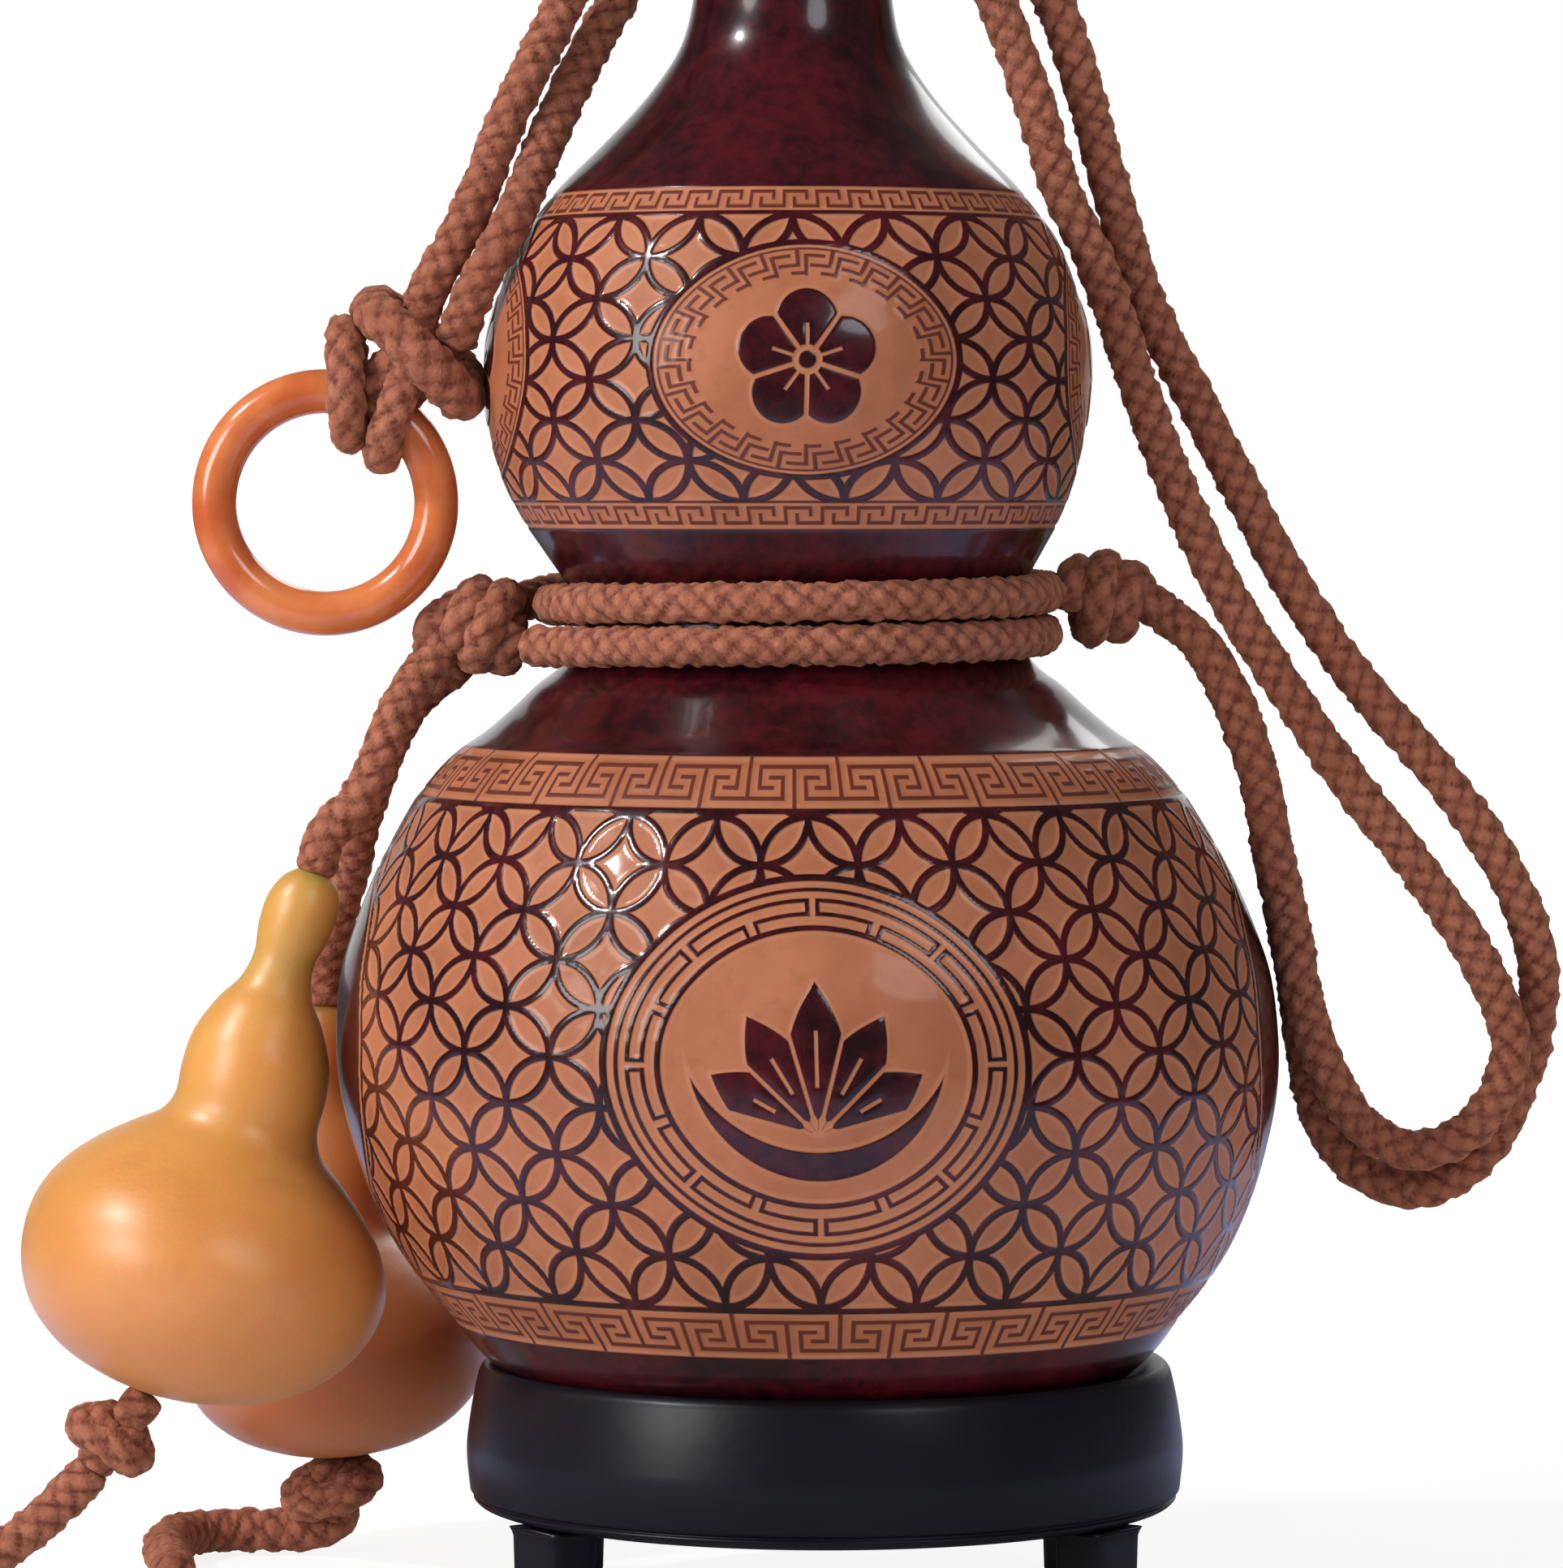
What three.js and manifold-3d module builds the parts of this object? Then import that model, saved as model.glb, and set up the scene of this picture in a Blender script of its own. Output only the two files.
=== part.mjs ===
// A carved double-bulb gourd bottle on a turned stand, with its carrying cord, ring and two small gourds.
// Millimetres, +Z up, front along -Y. The floor is z = 0 and x = 0 is the middle of the lower bulb.
import * as THREE from 'three';
import { mergeVertices } from 'three/addons/utils/BufferGeometryUtils.js';
import Module from 'manifold-3d';

const wasm = await Module();
wasm.setup();

// Gap that every touching pair of pieces keeps.
const fitGap = 0.3;

// Bottle: heights above the floor and outside radii of its five main stations.
const bottleBaseHeight = 19.5;
const lowerBulbHeight = 73;
const lowerBulbRadius = 61;
const waistHeight = 128.5;
const waistRadius = 28.5;
const upperBulbHeight = 161.5;
const upperBulbRadius = 39.3;
const neckHeight = 222;
const neckRadius = 12.2;
const mouthHeight = 246;
const shellWall = 4;
const shellSegments = 40;

// Turned mouth collar and stopper.
const collarDepth = 9;
const collarWall = 3;
const collarLip = 2.4;
const collarBore = 8.8;
const plugClearance = 0.4;
const plugTaper = 0.5;
const plugLength = 16;
const capRadius = 11.5;
const capHeight = 18;

// Stand: a turned ring with a dished seat, on four legs.
const standCentre = 2.26;
const standRimHeight = 32.2;
const standRimRadius = 44.3;
const standBellyHeight = 20.7;
const standBellyRadius = 46.5;
const standUnderside = 13.3;
const standGrooveHeight = 15.2;
const standGrooveDepth = 0.5;
const standBoreRadius = 20;
const legRingRadius = 41.5;
const legTopWidth = 10.8;
const legFootWidth = 9.2;
const legThickness = 7;

// Cords: free stretches, and the tighter turns round the waist and in the knots.
const cordDiameter = 5.2;
const waistCordDiameter = 5;
const wrapDiameter = 3.5;
const wrapPitch = 3.95;
const cordSides = 8;
const wrapSides = 6;

// Ring that hangs on the cord.
const ringCentre = new THREE.Vector3(-62.1, -4, 143.4);
const ringMiddleRadius = 14.3;
const ringSectionRadius = 2.85;

// Small gourds: length along the axis, radius of the lower bulb and lean to the left in degrees.
const frontGourdLength = 70.3;
const frontGourdRadius = 23.7;
const frontGourdLean = 17.7;
const backGourdLength = 61.6;
const backGourdRadius = 21.3;
const backGourdLean = 0.3;
const smallGourdSegments = 20;
const gourdBoreRadius = 1.3;
const coreDiameter = 1.8;

// Materials.
function paint(colour, roughness) {
  return new THREE.MeshStandardMaterial({ color: colour, roughness, metalness: 0 });
}
const carvedSkin = paint(0xbe7f58, 0.45);
const cordFibre = paint(0x8a5a46, 0.9);
const amber = paint(0xcd733c, 0.2);
const gourdSkin = paint(0xd7964b, 0.45);
const blackWood = paint(0x23202a, 0.35);
const darkWood = paint(0x3a1a18, 0.3);
const cork = paint(0xb58a5c, 0.85);

const group = new THREE.Group();

function addPart(name, geometry, material, parent = group) {
  const mesh = new THREE.Mesh(geometry, material);
  mesh.name = name;
  parent.add(mesh);
  return mesh;
}

// A closed geometry as a solid for joining and cutting.
function solidOf(geometry) {
  const bare = geometry.clone();
  bare.deleteAttribute('normal');
  bare.deleteAttribute('uv');
  const merged = mergeVertices(bare, 1e-4);
  const corners = [];
  const index = merged.index.array;
  for (let i = 0; i < index.length; i += 3) {
    const [a, b, c] = [index[i], index[i + 1], index[i + 2]];
    if (a !== b && b !== c && c !== a) {
      corners.push(a, b, c);
    }
  }
  const triVerts = new Uint32Array(corners);
  const vertProperties = new Float32Array(merged.attributes.position.array);
  return new wasm.Manifold(new wasm.Mesh({ numProp: 3, vertProperties, triVerts }));
}

// The largest single body of a solid, as a geometry.
function geometryOf(solid) {
  const bodies = solid.decompose();
  bodies.sort((a, b) => b.volume() - a.volume());
  const mesh = bodies[0].getMesh();
  const geometry = new THREE.BufferGeometry();
  geometry.setAttribute('position', new THREE.BufferAttribute(mesh.vertProperties, 3));
  geometry.setIndex(new THREE.BufferAttribute(mesh.triVerts, 1));
  geometry.computeVertexNormals();
  return geometry;
}

// A lathe about Z from [radius, height] pairs.
function turned(profile, segments) {
  const points = profile.map(([radius, height]) => new THREE.Vector2(radius, height));
  return new THREE.LatheGeometry(points, segments).rotateX(Math.PI / 2);
}

// A value read off a smooth curve through [position, value] pairs.
function smoothValue(pairs) {
  const curve = new THREE.SplineCurve(pairs.map(([a, b]) => new THREE.Vector2(a, b)));
  const samples = curve.getPoints(pairs.length * 16);
  return (position) => {
    let i = 1;
    while (i < samples.length - 1 && samples[i].x < position) {
      i += 1;
    }
    const [a, b] = [samples[i - 1], samples[i]];
    const share = THREE.MathUtils.clamp((position - a.x) / (b.x - a.x), 0, 1);
    return a.y + (b.y - a.y) * share;
  };
}

// Between two stations the outline is given as shares of the way in height and in radius.
function between(low, high, shares) {
  return shares.map(([up, along]) => new THREE.Vector2(
    low.x + (high.x - low.x) * along,
    low.y + (high.y - low.y) * up,
  ));
}

function bottleOutline() {
  const base = new THREE.Vector2(0, bottleBaseHeight);
  const lower = new THREE.Vector2(lowerBulbRadius, lowerBulbHeight);
  const waist = new THREE.Vector2(waistRadius, waistHeight);
  const upper = new THREE.Vector2(upperBulbRadius, upperBulbHeight);
  const neck = new THREE.Vector2(neckRadius, neckHeight);
  const mouth = new THREE.Vector2(neckRadius, mouthHeight);
  const lowerBowl = [
    [0, 0.13], [0.013, 0.262], [0.043, 0.393], [0.084, 0.5], [0.14, 0.587], [0.196, 0.648],
    [0.27, 0.72], [0.351, 0.775], [0.43, 0.832], [0.53, 0.889], [0.65, 0.937], [0.765, 0.969], [0.882, 0.992],
  ];
  const lowerShoulder = [
    [0.169, 0.025], [0.283, 0.086], [0.396, 0.165], [0.51, 0.268], [0.6, 0.365], [0.681, 0.49],
    [0.737, 0.628], [0.795, 0.744], [0.845, 0.835], [0.885, 0.925], [0.93, 0.98],
  ];
  const upperBowl = [
    [0.09, 0.03], [0.18, 0.19], [0.27, 0.36], [0.418, 0.63], [0.61, 0.852], [0.8, 0.972],
  ];
  const upperShoulder = [
    [0.064, 0.015], [0.169, 0.085], [0.255, 0.165], [0.359, 0.336], [0.463, 0.565], [0.567, 0.775],
    [0.671, 0.923], [0.775, 0.978], [0.884, 0.996],
  ];
  return [
    base,
    ...between(base, lower, lowerBowl),
    lower,
    ...between(lower, waist, lowerShoulder),
    waist,
    ...between(waist, upper, upperBowl),
    upper,
    ...between(upper, neck, upperShoulder),
    neck,
    mouth,
  ];
}

const outline = bottleOutline();

// Sideways place of the bottle's middle line, because a grown gourd leans a little.
const middleX = smoothValue([
  [bottleBaseHeight, 1.7], [lowerBulbHeight, 0], [100, -0.65], [waistHeight, -1.35],
  [150, -2.6], [upperBulbHeight, -2.5], [185, -2.4], [neckHeight, -1.6], [mouthHeight, -1.2],
]);

function lean(geometry) {
  const place = geometry.attributes.position;
  for (let i = 0; i < place.count; i += 1) {
    place.setX(i, place.getX(i) + middleX(place.getZ(i)));
  }
  return geometry;
}

// The outline moved outwards by a distance, square to itself.
function offsetOutline(distance) {
  return outline.map((point, i) => {
    const before = outline[Math.max(i - 1, 0)];
    const after = outline[Math.min(i + 1, outline.length - 1)];
    const along = after.clone().sub(before).normalize();
    const radius = i === 0 ? 0 : point.x + along.y * distance;
    return [radius, point.y - along.x * distance];
  });
}

// The bottle's outside as a solid, grown by a clearance, from its base up to a height.
function grownBottle(clearance, topHeight) {
  const profile = offsetOutline(clearance).filter(([, height]) => height < topHeight);
  const last = profile[profile.length - 1];
  return solidOf(lean(turned([...profile, [0, last[1]]], shellSegments)));
}

// The dried gourd itself: one hollow shell, open at the cut mouth.
function gourdShell() {
  const outside = offsetOutline(0);
  const kept = (_, i) => i % 3 === 0 || i === outline.length - 1;
  const inside = offsetOutline(-shellWall).filter(kept).reverse();
  inside[0] = [neckRadius - shellWall, mouthHeight];
  return lean(turned([...outside, ...inside], shellSegments));
}

const mouthX = middleX(mouthHeight);
const collarTop = mouthHeight + collarLip;

// The collar is glued over the cut mouth and covers its rim.
function mouthCollar() {
  const inner = neckRadius + fitGap;
  const outer = inner + collarWall;
  const bottom = mouthHeight - collarDepth;
  const ease = 0.8;
  return turned([
    [inner, bottom], [outer - ease, bottom], [outer, bottom + ease], [outer - 0.6, bottom + collarDepth / 2],
    [outer, collarTop - ease], [outer - ease, collarTop], [collarBore, collarTop],
    [collarBore, mouthHeight + fitGap], [inner, mouthHeight + fitGap], [inner, bottom],
  ], 36);
}

const plugRadius = neckRadius - shellWall - plugClearance;
const capBottom = collarTop + fitGap;

// The plug closes the mouth and narrows a little towards its lower end.
function stopperPlug() {
  const top = capBottom - fitGap;
  const bottom = mouthHeight - plugLength;
  return turned([
    [0, bottom], [plugRadius - plugTaper - 0.6, bottom], [plugRadius - plugTaper, bottom + 0.6],
    [plugRadius, top], [0, top],
  ], 28);
}

// The turned knob that the plug is pegged into.
function stopperCap() {
  const shape = [
    [0, 0], [0.9, 0], [1, 0.07], [1, 0.17], [0.8, 0.29], [0.62, 0.42],
    [0.68, 0.58], [0.76, 0.74], [0.66, 0.88], [0.4, 0.97], [0, 1],
  ];
  return turned(shape.map(([r, h]) => [r * capRadius, capBottom + h * capHeight]), 28);
}

// The turned ring: a disc with the bottle's own underside sunk into it and a round hole through it.
function standRing() {
  const grooveTop = standGrooveHeight + standGrooveDepth;
  const grooveBottom = standGrooveHeight - standGrooveDepth;
  const profile = [
    [0, standUnderside], [standRimRadius - 2.1, standUnderside], [standRimRadius + 0.4, standUnderside + 0.5],
    [standBellyRadius - 0.9, grooveBottom - 0.2],
    [standBellyRadius - 0.7 - standGrooveDepth, standGrooveHeight],
    [standBellyRadius - 0.5, grooveTop + 0.2],
    [standBellyRadius, standBellyHeight], [standBellyRadius - 0.3, standBellyHeight + 3.3],
    [standRimRadius + 1.3, standRimHeight - 4.2], [standRimRadius + 0.4, standRimHeight - 0.8],
    [standRimRadius - 0.3, standRimHeight], [0, standRimHeight],
  ];
  const disc = solidOf(turned(profile, shellSegments).translate(standCentre, 0, 0));
  const seat = grownBottle(fitGap, lowerBulbHeight);
  const height = standRimHeight * 2;
  const bore = solidOf(new THREE.CylinderGeometry(standBoreRadius, standBoreRadius, height, 36)
    .rotateX(Math.PI / 2).translate(standCentre, 0, 0));
  return geometryOf(disc.subtract(seat).subtract(bore));
}

// A leg narrows to its foot, which stands flat on the floor.
function standLeg() {
  const top = standUnderside - fitGap;
  const shape = new THREE.Shape();
  const toe = 1;
  shape.moveTo(-legTopWidth / 2, top);
  shape.lineTo(-legFootWidth / 2, toe);
  shape.lineTo(-legFootWidth / 2 + toe, 0);
  shape.lineTo(legFootWidth / 2 - toe, 0);
  shape.lineTo(legFootWidth / 2, toe);
  shape.lineTo(legTopWidth / 2, top);
  shape.closePath();
  const leg = new THREE.ExtrudeGeometry(shape, { depth: legThickness, bevelEnabled: false });
  return leg.translate(0, 0, -legThickness / 2).rotateX(Math.PI / 2);
}

// The outline of a cord's section.
function circle(diameter, sides) {
  const shape = new THREE.Shape();
  for (let i = 0; i < sides; i += 1) {
    const angle = (i / sides) * 2 * Math.PI;
    const [x, y] = [Math.cos(angle) * diameter / 2, Math.sin(angle) * diameter / 2];
    if (i === 0) {
      shape.moveTo(x, y);
    } else {
      shape.lineTo(x, y);
    }
  }
  shape.closePath();
  return shape;
}

function smooth(points) {
  const corners = points.map(([x, y, z]) => new THREE.Vector3(x, y, z));
  return new THREE.CatmullRomCurve3(corners, false, 'centripetal');
}

function tube(curve, diameter, steps, sides = cordSides) {
  return new THREE.ExtrudeGeometry(circle(diameter, sides), { steps, extrudePath: curve });
}

// A stretch of a longer curve, from one of its points to another, with half a gap left at each inner end.
class Stretch extends THREE.Curve {
  constructor(whole, pointCount, from, to) {
    super();
    this.whole = whole;
    const lengths = whole.getLengths(pointCount * 40);
    const total = lengths[lengths.length - 1];
    const share = (i) => lengths[Math.round((i / (pointCount - 1)) * (lengths.length - 1))] / total;
    const half = fitGap / 2 / total;
    this.start = share(from) + (from > 0 ? half : 0);
    this.end = share(to) - (to < pointCount - 1 ? half : 0);
  }

  getPoint(t, target = new THREE.Vector3()) {
    return this.whole.getPointAt(this.start + (this.end - this.start) * t, target);
  }
}

// A closed tube along a closed curve through the points.
function loopTube(points, diameter, steps, sides) {
  const curve = new THREE.CatmullRomCurve3(points, true, 'centripetal');
  const frames = curve.computeFrenetFrames(steps, true);
  const place = [];
  const index = [];
  for (let i = 0; i < steps; i += 1) {
    const middle = curve.getPointAt(i / steps);
    for (let j = 0; j < sides; j += 1) {
      const angle = (j / sides) * 2 * Math.PI;
      const point = middle.clone()
        .addScaledVector(frames.normals[i], Math.cos(angle) * diameter / 2)
        .addScaledVector(frames.binormals[i], Math.sin(angle) * diameter / 2);
      place.push(point.x, point.y, point.z);
      const a = i * sides + j;
      const b = i * sides + (j + 1) % sides;
      const c = ((i + 1) % steps) * sides + j;
      const d = ((i + 1) % steps) * sides + (j + 1) % sides;
      index.push(a, b, c, b, d, c);
    }
  }
  const geometry = new THREE.BufferGeometry();
  geometry.setAttribute('position', new THREE.Float32BufferAttribute(place, 3));
  geometry.setIndex(index);
  return geometry;
}

// Least gap between two stretches of the same tube, measured on points of its middle line.
function leastSelfGap(curve, diameter) {
  const count = 400;
  const points = curve.getSpacedPoints(count);
  const step = curve.getLength() / count;
  const apart = Math.ceil((diameter * Math.PI) / step);
  let least = Infinity;
  for (let i = 0; i <= count; i += 1) {
    for (let j = i + apart; j <= count; j += 1) {
      least = Math.min(least, points[i].distanceTo(points[j]));
    }
  }
  return least - diameter;
}

// Radius at which a cord at a height just rests on the bottle.
function restRadius(height) {
  const reach = waistCordDiameter / 2 + fitGap;
  let radius = 0;
  for (let i = 1; i < outline.length; i += 1) {
    for (let share = 0; share < 1; share += 0.1) {
      const point = outline[i - 1].clone().lerp(outline[i], share);
      const rise = point.y - height;
      if (Math.abs(rise) < reach) {
        radius = Math.max(radius, point.x + Math.sqrt(reach * reach - rise * rise));
      }
    }
  }
  return radius;
}

const waistTurnPitch = 5.45;
const waistTurnLow = 124.7;
const waistTurnTilt = 1;
const waistTurnStart = -150;
const waistTurnEnd = 465;
const waistUpperEnd = [
  [-20.8, 29.2, 133.6], [-29, 24.2, 132.4], [-34.2, 17.4, 131.2], [-38.1, 10.2, 130.1], [-40.5, 3.5, 129],
];

function waistTurnPoint(degrees) {
  const angle = THREE.MathUtils.degToRad(degrees);
  const climb = (waistTurnPitch * (degrees + 180)) / 360;
  const height = waistTurnLow + climb - (waistTurnTilt * (1 + Math.cos(angle))) / 2;
  const radius = restRadius(height) + 0.05;
  return new THREE.Vector3(middleX(height) + radius * Math.cos(angle), radius * Math.sin(angle), height);
}

function waistTurns() {
  const points = [];
  const stepDegrees = 15;
  for (let degrees = waistTurnStart; degrees <= waistTurnEnd; degrees += stepDegrees) {
    points.push(waistTurnPoint(degrees));
  }
  // The lower end leaves its turn along the tangent. The upper end comes down behind it into the left knot.
  const away = points[0].clone().sub(points[1]).normalize();
  const first = points[0].clone().addScaledVector(away, waistCordDiameter * 2);
  const ends = waistUpperEnd.map(([x, y, z]) => new THREE.Vector3(x, y, z));
  return new THREE.CatmullRomCurve3([first, ...points, ...ends], false, 'centripetal');
}

const waistCurve = waistTurns();
console.log('least gap between the waist turns, mm:', leastSelfGap(waistCurve, waistCordDiameter).toFixed(2));

// The strap has two strands, each from the ring knot over the neck and down to the right knot.
const frontStrand = [
  [-49.6, -5.6, 168.6], [-47.5, -7, 172.9], [-45.2, -7, 176.6], [-42.3, -6, 182.8], [-40, -5, 189.1],
  [-37.3, -4, 195.4], [-34.2, -3, 201.7], [-31.1, -2, 208], [-26, -3.6, 217], [-18.6, -8, 225],
  [-10, -13.3, 230.4], [-1.6, -15.5, 232], [6.6, -13.2, 231], [13.4, -8.8, 226.5], [19.2, -5, 218],
  [24.2, -2.8, 207.9], [28.9, -2.8, 195.4], [32.9, -2.8, 182.9], [36, -2.8, 176.7], [38.6, -2.8, 170.4],
  [42.8, -2.8, 157.9], [47.6, -2.8, 145.4], [53.4, -2.8, 132.8], [61.1, -2.8, 120.3], [69.7, -2.8, 107.7],
  [79.6, -2.8, 95.1], [87.7, -2.8, 82.5], [90.9, -2.8, 72.5], [86.5, -2.8, 63], [78.7, -2.8, 59.6],
  [71.5, -2.8, 63.2], [66.6, -2.8, 71.5], [64, -2.8, 79.8], [62.4, -2.8, 89], [60.2, -2.8, 98.3],
  [57.8, -2.8, 110], [54.2, -2.8, 119.6], [50, -1.2, 126], [46.2, 1.4, 129],
];
const frontSplits = [0, 8, 14, 38];
const backStrand = [
  [-45.2, -7.2, 163.8], [-43.4, -9, 168.6], [-41.2, -10.4, 173.1], [-39.2, -11, 176.4], [-36.3, -7.4, 182.8],
  [-33.9, -3.4, 189.2], [-31.2, 0, 195.6], [-28.1, 2.5, 202], [-24.6, 4.5, 208.4], [-18.6, 8, 218.5],
  [-10, 13.3, 229.4], [-1.6, 15.5, 232], [6.6, 13.2, 231], [14.6, 9.6, 226], [23.4, 5.8, 220],
  [31.7, 3, 208.3], [36, 2.8, 195.7], [39.5, 2.8, 183.2], [43.4, 2.8, 170.6], [49.6, 2.8, 158],
  [56.1, 2.8, 145.4], [62.9, 2.8, 132.8], [71.6, 2.8, 120.1], [82.5, 2.8, 107.5], [91.1, 2.8, 94.8],
  [95.1, 2.8, 82.1], [93.1, 2.8, 69.4], [87.6, 2.8, 58.6], [80, 2.8, 54.2], [72.4, 2.8, 56.2],
  [66.8, 2.8, 63.4], [64.7, 2.8, 73], [63.4, 2.8, 82], [61, 3, 94.8], [58.8, 3.2, 107],
  [55.2, 3.8, 117.6], [52.2, 6.4, 123.8],
];
const backSplits = [0, 9, 14, 36];
const frontCurve = smooth(frontStrand);
const backCurve = smooth(backStrand);
const strapSteps = [10, 12, 44];

function strapPiece(curve, points, splits, i) {
  const stretch = new Stretch(curve, points.length, splits[i], splits[i + 1]);
  return tube(stretch, cordDiameter, strapSteps[i]);
}

// A knot is one strand wrapped round another.
// Closed wraps side by side along a core, which fills their middle.
function wrapKnot(from, to, wraps, radius, diameter) {
  const start = new THREE.Vector3(...from);
  const end = new THREE.Vector3(...to);
  const along = end.clone().sub(start).normalize();
  const side = new THREE.Vector3(0, 0, 1).cross(along).normalize();
  const up = along.clone().cross(side);
  const loops = [];
  for (let i = 0; i < wraps; i += 1) {
    const middle = start.clone().addScaledVector(along, wrapPitch * (i + 0.5));
    const points = [];
    for (let j = 0; j < 12; j += 1) {
      const angle = (j / 12) * 2 * Math.PI;
      points.push(middle.clone()
        .addScaledVector(side, radius * Math.cos(angle))
        .addScaledVector(up, radius * Math.sin(angle))
        .addScaledVector(along, Math.sin(angle) * wrapPitch * 0.18));
    }
    loops.push(solidOf(loopTube(points, diameter, 14, wrapSides)));
  }
  const core = tube(new THREE.LineCurve3(start, end), (radius - diameter / 2) * 2 + 1, 1, cordSides);
  return loops.reduce((whole, loop) => whole.add(loop), solidOf(core));
}

const wrapRadius = 4.65;
const clearWaist = solidOf(tube(waistCurve, waistCordDiameter + fitGap * 2.4, 66, cordSides));
const rightStrandEnds = [[frontCurve, frontStrand, 38], [backCurve, backStrand, 36]];

function clearTube(curve, diameter, steps) {
  return solidOf(tube(curve, diameter + fitGap * 2.4, steps, cordSides));
}

const leftKnotFrom = [-35.9, -1.5, 126.6];
const leftKnotTo = [-47.6, -1.5, 127.4];
const rightKnotFrom = [33.7, 2.2, 131.6];
const rightKnotTo = [45.6, 2.2, 130.4];
const bottleClear = grownBottle(fitGap, neckHeight);

// The waist cord's two ends run down to the small gourds.
function axisEnd(top, length, leanDegrees) {
  const angle = THREE.MathUtils.degToRad(leanDegrees);
  return top.clone().add(new THREE.Vector3(-Math.sin(angle), 0, -Math.cos(angle)).multiplyScalar(length));
}

const frontAxisTop = new THREE.Vector3(-63.3, -8, 95.9);
const frontAxisBottom = axisEnd(frontAxisTop, frontGourdLength, frontGourdLean);
const backAxisTop = new THREE.Vector3(-65.1, 44, 75.2);
const backAxisBottom = axisEnd(backAxisTop, backGourdLength, backGourdLean);

// A point a little past one end of a line, in the line's direction.
function pastEnd(end, other, distance) {
  return end.clone().addScaledVector(end.clone().sub(other).normalize(), distance).toArray();
}

const frontDrop = [
  [-46.6, -1.6, 125.6], [-48.4, -2.4, 123.4], [-51.3, -4, 119.3], [-53.8, -6, 114.1], [-55.8, -7.5, 108.9],
  [-58, -8, 104.6], pastEnd(frontAxisTop, frontAxisBottom, cordDiameter),
  pastEnd(frontAxisTop, frontAxisBottom, fitGap),
];
const backDrop = [
  [-43.4, 4.9, 122.4], [-47.2, 8, 118.2], [-51.6, 14.5, 113.3], [-55.2, 22, 107.7], [-58.6, 29.5, 100.9],
  [-61.2, 35.6, 94], [-63.4, 40.6, 87], pastEnd(backAxisTop, backAxisBottom, cordDiameter),
  pastEnd(backAxisTop, backAxisBottom, fitGap),
];
const frontKnotMiddle = frontAxisBottom.clone().add(new THREE.Vector3(-4.7, 0, -5.6));
const frontKnotEnd = frontKnotMiddle.clone().add(new THREE.Vector3(-2.8, 0, -4.2));
const backKnotMiddle = backAxisBottom.clone().add(new THREE.Vector3(0.7, 0.5, -4));
const backKnotEnd = backKnotMiddle.clone().add(new THREE.Vector3(0.7, 0.7, -2.2));
const frontTail = [
  pastEnd(frontKnotEnd, frontKnotMiddle, fitGap), [-93.6, -8, 17.4], [-95.9, -8, 15],
  [-99.3, -9, 11.7], [-103.9, -10, 8.2],
  [-109, -11, 5], [-115, -11.6, 3.1], [-122, -11.4, 2.7], [-128.5, -10, 2.7],
];
const backTail = [
  pastEnd(backKnotEnd, backKnotMiddle, fitGap), [-63.7, 45.8, 5.2], [-65.4, 46, 3.4],
  [-68.6, 46, 2.8], [-73, 46, 2.7], [-78.6, 45.6, 2.7],
  [-83, 43.4, 2.7], [-85.4, 39, 2.7], [-86, 32, 2.7], [-85.4, 24, 2.7], [-84, 15, 2.7], [-83, 6, 2.7],
];
const frontDropCurve = smooth(frontDrop);
const backDropCurve = smooth(backDrop);
const frontTailCurve = smooth(frontTail);
const backTailCurve = smooth(backTail);

function waistKnot(from, to, neighbours) {
  const knot = wrapKnot(from, to, 3, wrapRadius, wrapDiameter).subtract(clearWaist).subtract(bottleClear);
  return geometryOf(neighbours.reduce((left, cut) => left.subtract(cut), knot));
}

// The ring hangs in two loops of its knot.
function ringSolid(extra) {
  return new THREE.TorusGeometry(ringMiddleRadius, ringSectionRadius + extra, 10, 34)
    .rotateX(Math.PI / 2).translate(ringCentre.x, ringCentre.y, ringCentre.z);
}

// A loop of cord that goes through the ring and back up beside it.
const ringLoopCord = 4.1;
const ringLoopRadius = 6.2;
const ringLoopDepth = 4.9;
const ringLoopRaise = 1.6;

function ringLoop(degrees, tilt) {
  const angle = THREE.MathUtils.degToRad(degrees);
  const out = new THREE.Vector3(Math.cos(angle + tilt), 0, Math.sin(angle + tilt));
  const middle = new THREE.Vector3(Math.cos(angle), 0, Math.sin(angle)).multiplyScalar(ringMiddleRadius)
    .add(ringCentre).addScaledVector(out, ringLoopRaise);
  const points = [];
  for (let j = 0; j < 12; j += 1) {
    const turn = (j / 12) * 2 * Math.PI;
    points.push(middle.clone()
      .addScaledVector(out, ringLoopRadius * Math.cos(turn))
      .add(new THREE.Vector3(0, ringLoopDepth * Math.sin(turn), 0)));
  }
  return solidOf(loopTube(points, ringLoopCord, 16, wrapSides));
}

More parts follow.
